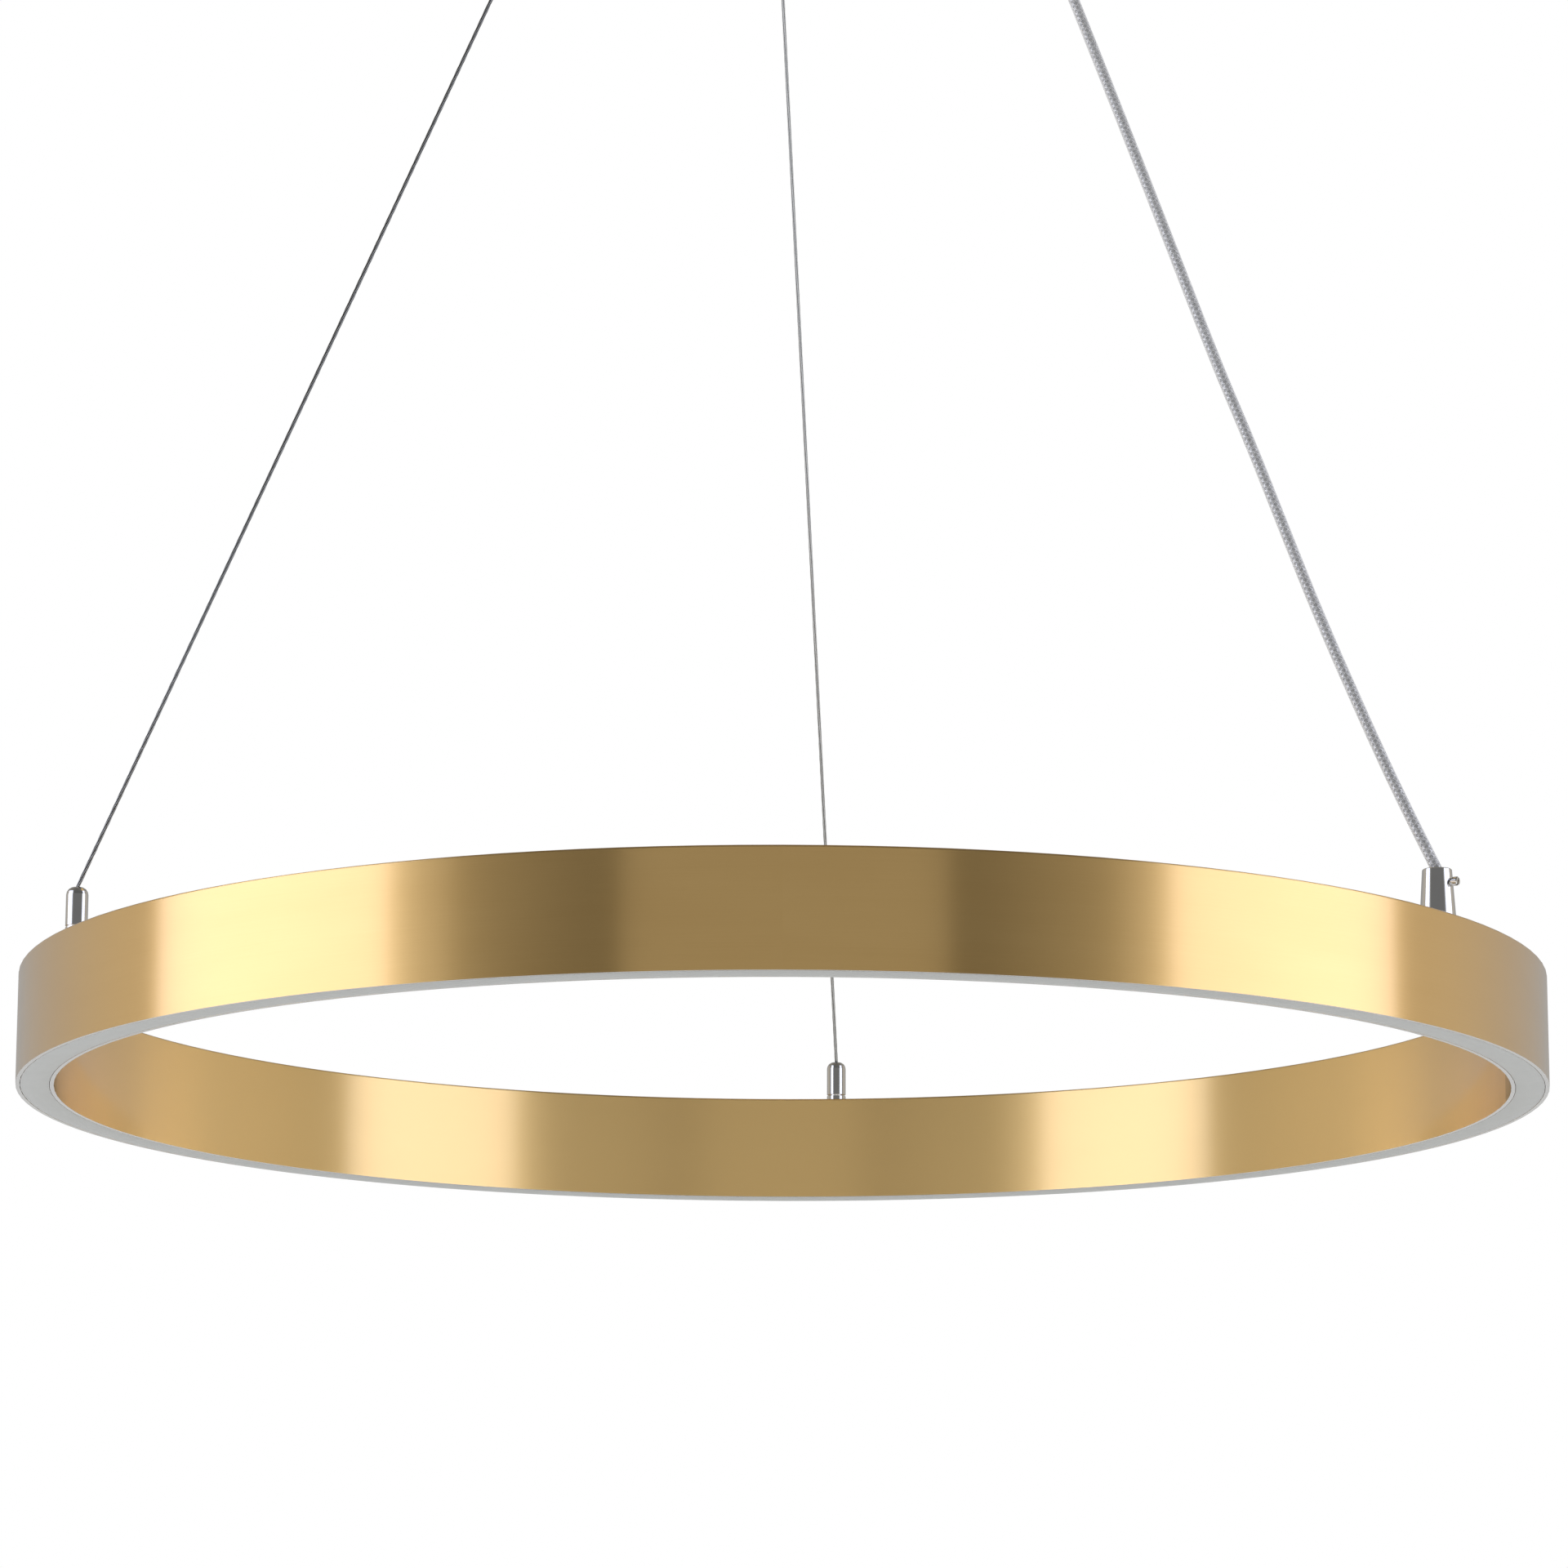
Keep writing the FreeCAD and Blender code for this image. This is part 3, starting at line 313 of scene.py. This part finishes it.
def brushed_gold():
    finish = Finish("brushed_gold")
    place = ring_place(finish)
    distance_out, height = place[1:]
    grooves = grain(finish, place, (60 * MM, 0.25 * MM, 0.25 * MM), 3.0)
    fine = grain(finish, place, (14 * MM, 0.09 * MM, 0.09 * MM), 1.0)
    patches = grain(finish, place, (55 * MM, 30 * MM, 14 * MM), 1.0)
    lightened_inner_wall = distance_out < RING_MIDDLE_RADIUS
    dye_and_painted_light = finish.mix(grooves * 0.5 + patches * 0.5, DEEP_GOLD, FULL_GOLD)
    # Painted light: the inner wall takes the paler gold, so it reflects brighter.
    dye_and_painted_light = finish.mix(lightened_inner_wall * 0.8, dye_and_painted_light, PAINTED_LIGHT_GOLD)
    normal = finish.node("ShaderNodeTexCoord").out("Normal")
    upward = finish.node("ShaderNodeSeparateXYZ", {}, {0: normal}).out(2)
    on_ring = height < MOUTH_HEIGHT
    # Faces that look down on the ring: the cut edges, which get more roughness and the dark grey as
    # painted shade.
    cut_edge_and_shade = (upward < FACING_DOWN) * on_ring
    return finish.surface(Base_Color=finish.mix(cut_edge_and_shade, dye_and_painted_light, CUT_EDGE_GREY_AND_SHADE), Metallic=1.0,
                          Roughness=0.26 + grooves * 0.08 + fine * 0.04 + cut_edge_and_shade * 0.25,
                          Normal=finish.relief(grooves + fine * 0.5, 0.02 * MM, 0.05),
                          Anisotropic=1.0, Anisotropic_Rotation=0.25,
                          Coat_Weight=1.0, Coat_IOR=1.5, Coat_Roughness=0.12)


finishes["brushed_gold"] = brushed_gold()
print("gold has", len(finishes["brushed_gold"].node_tree.nodes), "nodes")

# %% [markdown]
# ## The opal strip
#
# The strip is extruded acrylic with a little white in it: satin, neutral and cool when it is unlit. A
# rough glass would look milky too, but it shows the dark channel behind and is slow to render. Light
# goes a few millimetres into the real one and comes out again, so the strip is a solid white with a
# short subsurface radius. A faint mottle keeps its surface from looking painted.

# %% Opal strip
OPAL_DARK, OPAL_LIGHT = (0.44, 0.445, 0.425), (0.49, 0.495, 0.475)
OPAL_DEPTH = 4 * MM


def opal_acrylic():
    finish = Finish("opal")
    mottle = grain(finish, ring_place(finish), (9 * MM, 5 * MM, 5 * MM), 2.0)
    return finish.surface(Base_Color=finish.mix(mottle, OPAL_DARK, OPAL_LIGHT),
                          Roughness=0.50 + mottle * 0.08,
                          Normal=finish.relief(mottle, 0.05 * MM, 0.04),
                          IOR=1.49, Specular_IOR_Level=0.12, Subsurface_Weight=0.25,
                          Subsurface_Radius=(OPAL_DEPTH,) * 3, Subsurface_Scale=1.0)


finishes["opal"] = opal_acrylic()
print(f"light goes {OPAL_DEPTH / MM:.0f} mm into the opal strip")

# %% [markdown]
# ## Plain metals
#
# The fittings are brass, polished and chromed. Chrome is nearly a mirror, with a slight haze from the
# polishing. The nuts, screws and the bracket are zinc plated: greyer, and cloudy where the zinc grew.
# Each could have a function of its own, but they differ in numbers only. So one function makes them all,
# from a darker and a lighter colour, two roughnesses and the size of the clouds.

# %% Chrome, zinc, steel and mill aluminium
METALS = {
    "chrome": ((0.67, 0.66, 0.65), (0.74, 0.735, 0.725), 0.05, 0.10, 4 * MM),
    "zinc_steel": ((0.60, 0.61, 0.62), (0.78, 0.79, 0.80), 0.30, 0.50, 2.5 * MM),
    "spring_steel": ((0.42, 0.43, 0.45), (0.55, 0.56, 0.58), 0.18, 0.32, 1.5 * MM),
    "steel_strand": ((0.52, 0.53, 0.54), (0.66, 0.67, 0.68), 0.10, 0.20, 3 * MM),
    "mill_aluminium": ((0.66, 0.67, 0.68), (0.77, 0.78, 0.79), 0.30, 0.42, 6 * MM),
}


def plain_metal(name, dark, light, smooth, rough, cloud):
    finish = Finish(name)
    clouds = finish.noise(cloud, 3.0)
    return finish.surface(Base_Color=finish.mix(clouds, dark, light), Metallic=1.0,
                          Roughness=smooth + clouds * (rough - smooth),
                          Normal=finish.relief(clouds, 0.02 * MM, 0.03))


finishes.update({slot: plain_metal(slot, *numbers) for slot, numbers in METALS.items()})
print(len(METALS), "plain metals")

# %% [markdown]
# ## Moulded plastics and wires
#
# The driver's case, the terminal, the leads and the LED board are small and sit inside, but the lamp is
# looked at from above too, where the canopy is open. They are satin plastics with a fine moulded
# texture. A plain colour would do from afar, but it looks like a toy up close, so one function gives
# each its speckle, from two colours and a roughness. The LEDs' phosphor has a clear coat besides. The
# feed wires have red sleeves, and the cord's hidden ends are cloudy grey.

# %% Plastics
MOULD_SPECKLE = 0.8 * MM
PLASTICS = {
    "driver_white": ((0.76, 0.76, 0.74), (0.84, 0.84, 0.82), 0.42),
    "terminal_grey": ((0.56, 0.57, 0.57), (0.66, 0.67, 0.66), 0.38),
    "lead_white": ((0.74, 0.74, 0.72), (0.80, 0.80, 0.78), 0.30),
    "earth_green": ((0.16, 0.36, 0.08), (0.21, 0.44, 0.11), 0.30),
    "wire_tinned": ((0.50, 0.10, 0.08), (0.62, 0.15, 0.12), 0.30),
    "board_white": ((0.80, 0.80, 0.77), (0.86, 0.86, 0.83), 0.35),
    "led_phosphor": ((0.86, 0.66, 0.20), (0.92, 0.74, 0.28), 0.20, 0.6),
}


def moulded(name, dark, light, roughness, coat=0.0):
    finish = Finish(name)
    speckle = finish.noise(MOULD_SPECKLE)
    return finish.surface(Base_Color=finish.mix(speckle, dark, light), Coat_Weight=coat,
                          Roughness=roughness + speckle * 0.08,
                          Normal=finish.relief(speckle, 0.03 * MM, 0.12))


finishes.update({slot: moulded(slot, *numbers) for slot, numbers in PLASTICS.items()})
finishes["clear_cord"] = moulded("cord_inside", (0.50, 0.51, 0.51), (0.60, 0.61, 0.61), 0.22)
print(len(PLASTICS) + 1, "plastics")

# %% [markdown]
# ## The springs in the grippers
#
# Each gripper has a small spring that the plunger presses together when it lets go of the cable. A coil
# that gets shorter can't follow a joint as a rigid piece does. So a copy of it stands for it and goes
# with the ceiling unit, and the gripper's own spring is hidden. The copy stays as long as it is, so the
# plunger would cut through it.


def pressed_spring(place):
    """A copy of a gripper's spring that stands for it, at its full length; gives its height."""
    coil = nodes[place + "_gripper_spring"]
    bottom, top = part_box(coil.name)
    copy = bpy.data.objects.new(place + "_spring_coil", coil.data.copy())
    bpy.context.scene.collection.objects.link(copy)
    copy.data.materials.clear()
    copy.data.materials.append(finishes["spring_steel"])
    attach(copy, "ceiling_unit")
    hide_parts(place + "_gripper_spring")
    height = top.z - bottom.z
    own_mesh(copy)
    return height


# %% [markdown]
# ## Every piece gets its finish
#
# In a workshop each drawing names the finish of its piece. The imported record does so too: every piece
# has a slot, such as chrome or opal. The finishes could be given out one by one, but a loop over the
# record can't forget a piece, and it stops with an error if a slot has no finish here.

# %% Give every piece its finish
for part in frame["record"]["subparts"]:
    piece = nodes[part["node"]]
    piece.data.materials.clear()
    piece.data.materials.append(finishes[part["material_slot"]])
for place in ("rear", "left"):
    print(f"{place} spring is {pressed_spring(place) / MM:.1f} mm high at rest")
print(len(finishes), "finishes given out")

# %% [markdown]
# ## Lines that the cables and the cord follow
#
# Each strand is one smooth line from its upper mouth to its lower one. The cables are taut and straight.
# The cord is thicker and was bent in its box, so it bows a few millimetres below the straight line, with
# one slight wave. A line through many measured points would show every error of the measuring. A NURBS
# curve through few points gives a line without kinks, and the wires and the braid then follow points
# read back from it.

# %% A strand's line
# Share of the way down, and bow below the straight line in millimetres.
CORD_ROUTE = [(0.0, 0.0), (0.11, -0.1), (0.22, 0.05), (0.33, 1.0), (0.44, 2.2), (0.56, 3.8),
              (0.63, 3.45), (0.70, 4.1), (0.78, 4.75), (0.87, 3.75), (0.94, 2.4), (1.0, 0.0)]


def nurbs_points(points, steps):
    """The points, in order, of the smooth line that has these points as its control points."""
    curve = bpy.data.curves.new("line", "CURVE")
    curve.dimensions = "3D"
    line = curve.splines.new("NURBS")
    line.points.add(len(points) - 1)
    for control, point in zip(line.points, points):
        control.co = (*point, 1.0)
    line.order_u = 3
    line.use_endpoint_u = True
    line.resolution_u = steps
    holder = bpy.data.objects.new("line", curve)
    bpy.context.scene.collection.objects.link(holder)
    mesh = bpy.data.meshes.new_from_object(holder)
    found = [v.co.copy() for v in mesh.vertices]
    bpy.data.meshes.remove(mesh)
    bpy.data.objects.remove(holder)
    return found


def cord_controls():
    """The cord's control points: a straight run, with its bow below."""
    upper, lower = strand_ends("cord")
    along = lower - upper
    below = -along.cross(Vector((0, 0, 1))).cross(along).normalized()
    return [upper + along * share + below * bow * MM for share, bow in CORD_ROUTE]


print("the cord bows by up to", max(bow for share, bow in CORD_ROUTE), "mm")

# %% [markdown]
# ## Winding wires round a line
#
# A wire of a rope is a tube that circles the rope's line while it runs along it. An array of one short
# twisted piece, bent along a curve, could give nearly the same, but its joints have to be merged and its
# weave can't change. So one function walks the line with a frame that doesn't twist, and another turns
# by the lay and puts a small ring of points there. Where a wire weaves over and under others, its
# distance from the line changes too.

# %% Walking and winding
def walk(points):
    """For each point: the point, its distance from the start, and two directions across the line."""
    across = (points[1] - points[0]).orthogonal().normalized()
    rows, distance = [], 0.0
    for k, point in enumerate(points):
        before, after = points[max(k - 1, 0)], points[min(k + 1, len(points) - 1)]
        along = (after - before).normalized()
        across = (across - along * across.dot(along)).normalized()
        if k:
            distance += (point - points[k - 1]).length
        rows.append((point, distance, across, along.cross(across)))
    return rows


def wind(rows, height, lay, start, section):
    """Rings of one wire's points, each with its height over the line. height(distance) is that of the
    wire's middle, section its outline as outward and sideways offsets, lay the length of one turn."""
    rings = []
    for point, distance, across, other in rows:
        angle = start + (math.tau * distance / lay if lay else 0.0)
        outward = across * math.cos(angle) + other * math.sin(angle)
        side = other * math.cos(angle) - across * math.sin(angle)
        out = height(distance)
        rings.append([(point + outward * (out + a) + side * b, out + a) for a, b in section])
    return rings


def straight(rows, section):
    """Rings of a tube on the line itself, with no turn."""
    return wind(rows, lambda distance: 0.0, 0, 0, section)


def circle(radius, sides):
    """The outline of a round wire."""
    turns = [math.tau * k / sides for k in range(sides)]
    return [(radius * math.cos(t), radius * math.sin(t)) for t in turns]


print("wires can be wound round any line")

# %% [markdown]
# ## One skin over all wires
#
# Each wire of a cable could be an object, but a cable is one piece, and it has to be one mesh. So all
# wires are tubes of the same mesh, closed at both ends. The mesh also keeps, for every point, how high
# it lies over the cable's line, because the finish of the wires asks for it.

# %% Skin
def skin(name, wires, finish):
    """One mesh with a closed tube for each wire. Its attribute "lift" keeps the points' heights."""
    vertices, lifts, faces = [], [], []
    for rings in wires:
        count, first = len(rings[0]), len(vertices)
        for ring in rings:
            vertices.extend(point for point, lift in ring)
            lifts.extend(lift for point, lift in ring)
        for k in range(len(rings) - 1):
            a = first + k * count
            for j in range(count):
                n = (j + 1) % count
                faces.append((a + j, a + n, a + count + n, a + count + j))
        last = first + (len(rings) - 1) * count
        faces.append(tuple(range(first + count - 1, first - 1, -1)))
        faces.append(tuple(range(last, last + count)))
    mesh = bpy.data.meshes.new(name)
    mesh.from_pydata(vertices, [], faces)
    mesh.attributes.new("lift", "FLOAT", "POINT").data.foreach_set("value", lifts)
    mesh.materials.append(finish)
    for face in mesh.polygons:
        face.use_smooth = len(face.vertices) == 4
    made = bpy.data.objects.new(name, mesh)
    bpy.context.scene.collection.objects.link(made)
    return made


print("a skin keeps each point's height over its line")

# %% [markdown]
# ## The finish of wound wires
#
# Little light comes down between the wires of a rope, and the shadow alone is too weak on wires half a
# millimetre thick. So shade is painted into the colour: the finish is dark where a point lies low, and
# bright where it lies high, and the kept height says which.

# %% Wire finish
WIRE_CLOUD = MM / 0.9


def wound_metal(name, valley_shade, crest, low_lift, high_lift, smooth, rough):
    """A metal with a painted shade colour below low_lift and of colour crest above high_lift."""
    finish = Finish(name)
    lift = finish.node("ShaderNodeAttribute", {"attribute_name": "lift"}).out(2)
    lit_share = finish.node("ShaderNodeMapRange", {},
                        {"Value": lift, "From Min": low_lift, "From Max": high_lift}).out()
    clouds = finish.noise(WIRE_CLOUD)
    # Painted shade: the colour goes from the dark one where a point lies low to the crest colour where it
    # lies high.
    return finish.surface(Base_Color=finish.mix(lit_share, valley_shade, crest), Metallic=1.0,
                          Roughness=smooth + clouds * (rough - smooth),
                          Normal=finish.relief(clouds, 0.01 * MM, 0.05))


print(f"the wires' clouds are {WIRE_CLOUD / MM:.1f} mm across")

# %% [markdown]
# ## The steel cables
#
# Each cable is six steel strands laid round a seventh. In the photograph the strands show as slanted
# dark and bright strokes, 6 mm apart along the cable, so one turn of the lay takes 36 mm. A pattern on a
# smooth tube would show the strokes too, but its outline would be straight. The strands are a little
# thinner than a third of the cable, which leaves valleys between them. These and the middle strand are
# painted near black, as painted shade.

# %% Cables
CABLE_LAY = 36 * MM
CABLE_STEPS = 260
OUTER_STRANDS = 6
STRAND_DIAMETER = 0.46 * MM
STRAND_HEIGHT = (CABLE_DIAMETER - STRAND_DIAMETER) / 2
# Its near-black first colour is painted shade, in the valleys and on the middle strand.
cable_steel = wound_metal("cable_steel", (0.01, 0.01, 0.01), (0.46, 0.46, 0.44),
                          0.42 * MM, 0.72 * MM, 0.08, 0.18)


def steel_cable(name):
    upper, lower = strand_ends(name)
    points = nurbs_points([upper, (upper + lower) / 2, lower], CABLE_STEPS)
    rows = walk(points)
    outline = circle(STRAND_DIAMETER / 2, 8)
    wires = [wind(rows, lambda distance: STRAND_HEIGHT, CABLE_LAY, math.tau * k / OUTER_STRANDS, outline)
             for k in range(OUTER_STRANDS)]
    wires.append(straight(rows, outline))
    cable = skin(name + "_cable_strands", wires, cable_steel)
    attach(cable, name + "_cable")
    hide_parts(name + "_cable")
    (lower - upper).length
    return cable


for name in ("rear", "left"):
    print(steel_cable(name).name, "follows its line, with", CABLE_LAY / MM, "mm of lay")

# %% [markdown]
# ## The braid in the cord
#
# Under its clear jacket the cord has a braid of tinned wires, drawn here as four flat bands one way and
# four the other, each going over two and under two. A band is a helix whose distance from the line
# swings with the crossings. A woven pattern on a tube would be quicker, but it has no edges to catch the
# light. A band is painted darker where it dips under the others, and the core below it is painted dark
# grey, both as painted shade. Between the bands the core shows as small lozenges, 2.3 mm apart, which is
# what the photograph shows down the middle of the cord. The braid is a cord of its own inside the jacket.

# %% Braid
BRAID_RADIUS = 1.74 * MM
BRAID_LAY = 9.2 * MM
BRAID_BANDS = 4
BAND_WIDTH = 1.05 * MM
BAND_THICKNESS = 0.14 * MM
CORE_RADIUS = 1.50 * MM
# Its dark first colour is painted shade, on bands where they dip under and on the core.
tinned = wound_metal("tinned_braid", (0.30, 0.30, 0.29), (0.96, 0.96, 0.94),
                     1.52 * MM, 1.68 * MM, 0.30, 0.45)


def band_outline():
    """A flat band with rounded edges, as outward and sideways offsets."""
    half, t = BAND_WIDTH / 2, BAND_THICKNESS / 2
    return [(t * 0.6, -half * 0.8), (t * 1.4, -half * 0.3), (t * 1.4, half * 0.3), (t * 0.6, half * 0.8),
            (0.0, half), (-t, half * 0.7), (-t, -half * 0.7), (0.0, -half)]


def braid(rows):
    """The rings of all bands, and of the core that they lie on."""
    wires = []
    for direction in (1, -1):
        for k in range(BRAID_BANDS):
            start = math.tau * k / BRAID_BANDS

            def over_under(distance, phase=start, way=direction):
                crossings = 2 * BRAID_BANDS * distance / BRAID_LAY + way * phase * BRAID_BANDS / math.tau
                return BRAID_RADIUS + way * BAND_THICKNESS * 0.6 * math.sin(math.pi * crossings / 2)

            wires.append(wind(rows, over_under, direction * BRAID_LAY, start, band_outline()))
    wires.append(straight(rows, circle(CORE_RADIUS, 16)))
    return wires


print("one turn of the braid takes", BRAID_LAY / MM, "mm")

# %% [markdown]
# ## The clear jacket
#
# The jacket is soft clear plastic, a round tube on the cord's line. Refraction could be computed in it,
# but on a tube four millimetres thick it only adds noise. So the jacket is a thin satin film that is
# nearly clear where one looks straight in, and milky at its sides, where one looks through more plastic.

# %% Cord
CORD_STEPS = 110


def clear_jacket():
    finish = Finish("clear_cord")
    haze = finish.noise(6 * MM)
    straight_in = 1 - finish.node("ShaderNodeLayerWeight", {}, {"Blend": 0.35}).out("Facing")
    return finish.surface(Base_Color=finish.mix(haze, (0.88, 0.88, 0.87), (0.94, 0.94, 0.93)),
                          Roughness=0.18 + haze * 0.08,
                          Alpha=0.79 - straight_in * 0.45 + haze * 0.08)


cord_path = nurbs_points(cord_controls(), CORD_STEPS)
cord_rows = walk(cord_path)
jacket = skin("power_cord_jacket", [straight(cord_rows, circle(CORD_DIAMETER / 2, 20))], clear_jacket())
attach(jacket, "power_cord")
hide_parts("power_cord")
inner_braid = skin("power_cord_braid", braid(cord_rows), tinned)
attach(inner_braid, "power_cord")
print(f"the cord's line is {cord_rows[-1][1]:.4f} m long")

# %% [markdown]
# ## The room
#
# The photograph has a white background and a dim room on the photographer's side. A picture of a studio
# could light the lamp, but the room is simple enough to be said in three ramps. One gives the walls,
# from the front to the back, one the pale ground below, and one dims the walls towards the ceiling. A
# camera ray that meets no object, also one through the jacket, sees plain white. The metals reflect the
# dimmer room instead, because a white one would wash out the dark bands that the photograph shows.

# %% Room
WALLS = [(0.0, (0.19, 0.19, 0.19)), (0.30, (0.19, 0.19, 0.185)), (0.55, (0.50, 0.46, 0.40)),
         (0.70, (0.58, 0.54, 0.47)), (0.85, (0.46, 0.44, 0.42)), (1.0, (0.38, 0.38, 0.38))]
GROUND = [(0.0, 1.0), (0.437, 1.0), (0.487, 0.0), (1.0, 0.0)]
CEILING = [(0.0, 1.0), (0.66, 1.0), (0.80, 0.62), (1.0, 0.5)]
PALE_GROUND = (0.97, 0.97, 0.97)
BLACK, WHITE = (0.0, 0.0, 0.0), (1.0, 1.0, 1.0)

room = bpy.data.worlds.new("studio")
bpy.context.scene.world = room
studio = Finish("studio", room)
direction = studio.node("ShaderNodeTexCoord").out("Generated")
parts = studio.node("ShaderNodeSeparateXYZ", {}, {0: direction})
behind, above = parts.out(1) * 0.5 + 0.5, parts.out(2) * 0.5 + 0.5
walls = studio.mix(studio.ramp(above, CEILING), BLACK, studio.ramp(behind, WALLS))
level = studio.mix(studio.ramp(above, GROUND), walls, PALE_GROUND)
rays = studio.node("ShaderNodeLightPath")
seen = rays.out("Is Camera Ray") + rays.out("Is Transmission Ray")
backdrop = studio.node("ShaderNodeBackground", {}, {"Color": studio.mix(seen, level, WHITE),
                                                    "Strength": 1.0})
studio.node("ShaderNodeOutputWorld", {}, {"Surface": backdrop.out()})
print("the room is dim in front and white to the camera")

# %% [markdown]
# ## The softboxes
#
# Two tall softboxes stand close on the left and the right of the lamp. The metals tell where they are:
# the bright bands on the ring are their reflections, so each panel's two edges were worked out from the
# edges of the bands. Glowing planes could stand there, but area lights make less noise and don't show to
# the camera. Each has a dim strip at its front edge, because a real softbox fades there. A faint light
# from above fills the tops, and no metal shows it.

# %% Softboxes
COOL = (0.96, 1.02, 1.28)
PANEL_MIDDLE, PANEL_HEIGHT = -0.40, 1.3
PANELS = {
    "softbox_left": ((-0.833, -0.697), (-0.885, -0.041), 1.42, COOL),
    "softbox_right": ((1.018, -0.832), (1.057, -0.048), 1.42, COOL),
    "edge_left": ((-0.817, -0.897), (-0.832, -0.702), 0.22, WHITE),
    "edge_right": ((1.008, -1.032), (1.017, -0.837), 0.18, WHITE),
}


def softbox(name, first, second, z, height, radiance, colour):
    """A standing panel between two points of the floor plan, which faces the lamp."""
    first, second = Vector((*first, z)), Vector((*second, z))
    middle, along = (first + second) / 2, (second - first).normalized()
    across = along.cross(Vector((0, 0, 1)))
    if across.dot(middle) > 0:
        across = -across
    lamp = bpy.data.lights.new(name, "AREA")
    lamp.shape = "RECTANGLE"
    lamp.size, lamp.size_y = (second - first).length, height
    lamp.energy = radiance * math.pi * lamp.size * lamp.size_y
    lamp.color = colour
    made = bpy.data.objects.new(name, lamp)
    made.location = middle
    made.rotation_euler = across.to_track_quat("-Z", "Y").to_euler()
    made.visible_camera = False
    bpy.context.scene.collection.objects.link(made)
    return made


for name, (first, second, radiance, colour) in PANELS.items():
    softbox(name, first, second, PANEL_MIDDLE, PANEL_HEIGHT, radiance, colour)
overhead = softbox("overhead", (-1.0, 0.0), (1.0, 0.0), 1.2, 2.0, 0.5, WHITE)
overhead.rotation_euler = (0.0, 0.0, 0.0)
overhead.visible_glossy = False
print(len(PANELS), "panels and one overhead light")

# %% [markdown]
# ## Two dark cards
#
# A photographer puts black cards beside bright metal, so that it gets dark bands which show its
# roundness. The photograph has one on each side of the ring's middle, which starts sharply there and
# fades outwards. The cards could be painted into the room, but the room is endlessly far away, and the
# inner wall would show them too. So they stand close to the ring, and only reflections see them.

# %% Cards
CARD_FADE = [(0.0, 0.66), (0.30, 0.52), (1.0, 0.0)]
CARD_BOTTOM, CARD_TOP = -0.80, -0.50
CARDS = {
    "card_left": ((-0.156, -0.529), (-0.320, -0.434)),
    "card_right": ((0.160, -0.528), (0.309, -0.443)),
}


def dark_card(name, first, second):
    """A black card. It is dense at its first end and fades out at its second."""
    first, second = Vector((*first, CARD_BOTTOM)), Vector((*second, CARD_BOTTOM))
    width, height = (second - first).length, CARD_TOP - CARD_BOTTOM
    mesh = bpy.data.meshes.new(name)
    mesh.from_pydata([(0, 0, 0), (width, 0, 0), (width, 0, height), (0, 0, height)], [], [(0, 1, 2, 3)])
    card = Finish(name)
    point = card.node("ShaderNodeTexCoord").out("Object")
    along = card.node("ShaderNodeSeparateXYZ", {}, {0: point}).out(0)
    fade = card.ramp(along * (1 / width), CARD_FADE)
    black = card.node("ShaderNodeBsdfDiffuse", {}, {"Color": (0.01, 0.01, 0.01)}).out()
    clear = card.node("ShaderNodeBsdfTransparent").out()
    both = card.node("ShaderNodeMixShader", {}, {0: fade, 1: clear, 2: black}).out()
    card.node("ShaderNodeOutputMaterial", {}, {"Surface": both})
    mesh.materials.append(card.owner)
    made = bpy.data.objects.new(name, mesh)
    made.location = first
    made.rotation_euler = (0, 0, math.atan2(second.y - first.y, second.x - first.x))
    made.visible_camera = made.visible_diffuse = made.visible_shadow = made.visible_transmission = False
    bpy.context.scene.collection.objects.link(made)


for name, (first, second) in CARDS.items():
    dark_card(name, first, second)
print(len(CARDS), "cards stand in front of the ring")

# %% [markdown]
# ## The floor
#
# The lamp hangs, and the photograph shows no floor, but views from above look down on one. It is pale
# and keeps a little of the lamp's shadow. Lit as it is it would look dark against the white room, so
# most of it glows for the camera alone and lights nothing. From below it is open, since the lamp has to
# be seen from there too.

# %% Floor
FLOOR_SIDE, FLOOR_HEIGHT = 14.0, -2.4
FLOOR_PATCH = 1 / 3
GLOW_SHARE = 0.85

bpy.ops.mesh.primitive_plane_add(size=FLOOR_SIDE, location=(0.0, 0.0, FLOOR_HEIGHT))
floor = bpy.context.object
floor.name = "floor"
floor.visible_glossy = floor.visible_diffuse = False
pale = Finish("pale_floor")
pale_colour = pale.mix(pale.noise(FLOOR_PATCH), (0.86, 0.86, 0.86), (0.9, 0.9, 0.9))
matt = pale.node("ShaderNodeBsdfDiffuse", {}, {"Color": pale_colour}).out()
glow = pale.node("ShaderNodeEmission", {}, {"Color": pale_colour, "Strength": 1.0}).out()
viewed = pale.node("ShaderNodeLightPath").out("Is Camera Ray")
lit = pale.node("ShaderNodeMixShader", {}, {0: viewed * GLOW_SHARE, 1: matt, 2: glow}).out()
under = pale.node("ShaderNodeNewGeometry").out("Backfacing")
open_below = pale.node("ShaderNodeBsdfTransparent").out()
both = pale.node("ShaderNodeMixShader", {}, {0: under, 1: lit, 2: open_below}).out()
pale.node("ShaderNodeOutputMaterial", {}, {"Surface": both})
floor.data.materials.append(pale.owner)
bpy.context.scene.view_settings.view_transform = "Standard"
print("the floor is", -FLOOR_HEIGHT, "m below the ceiling")
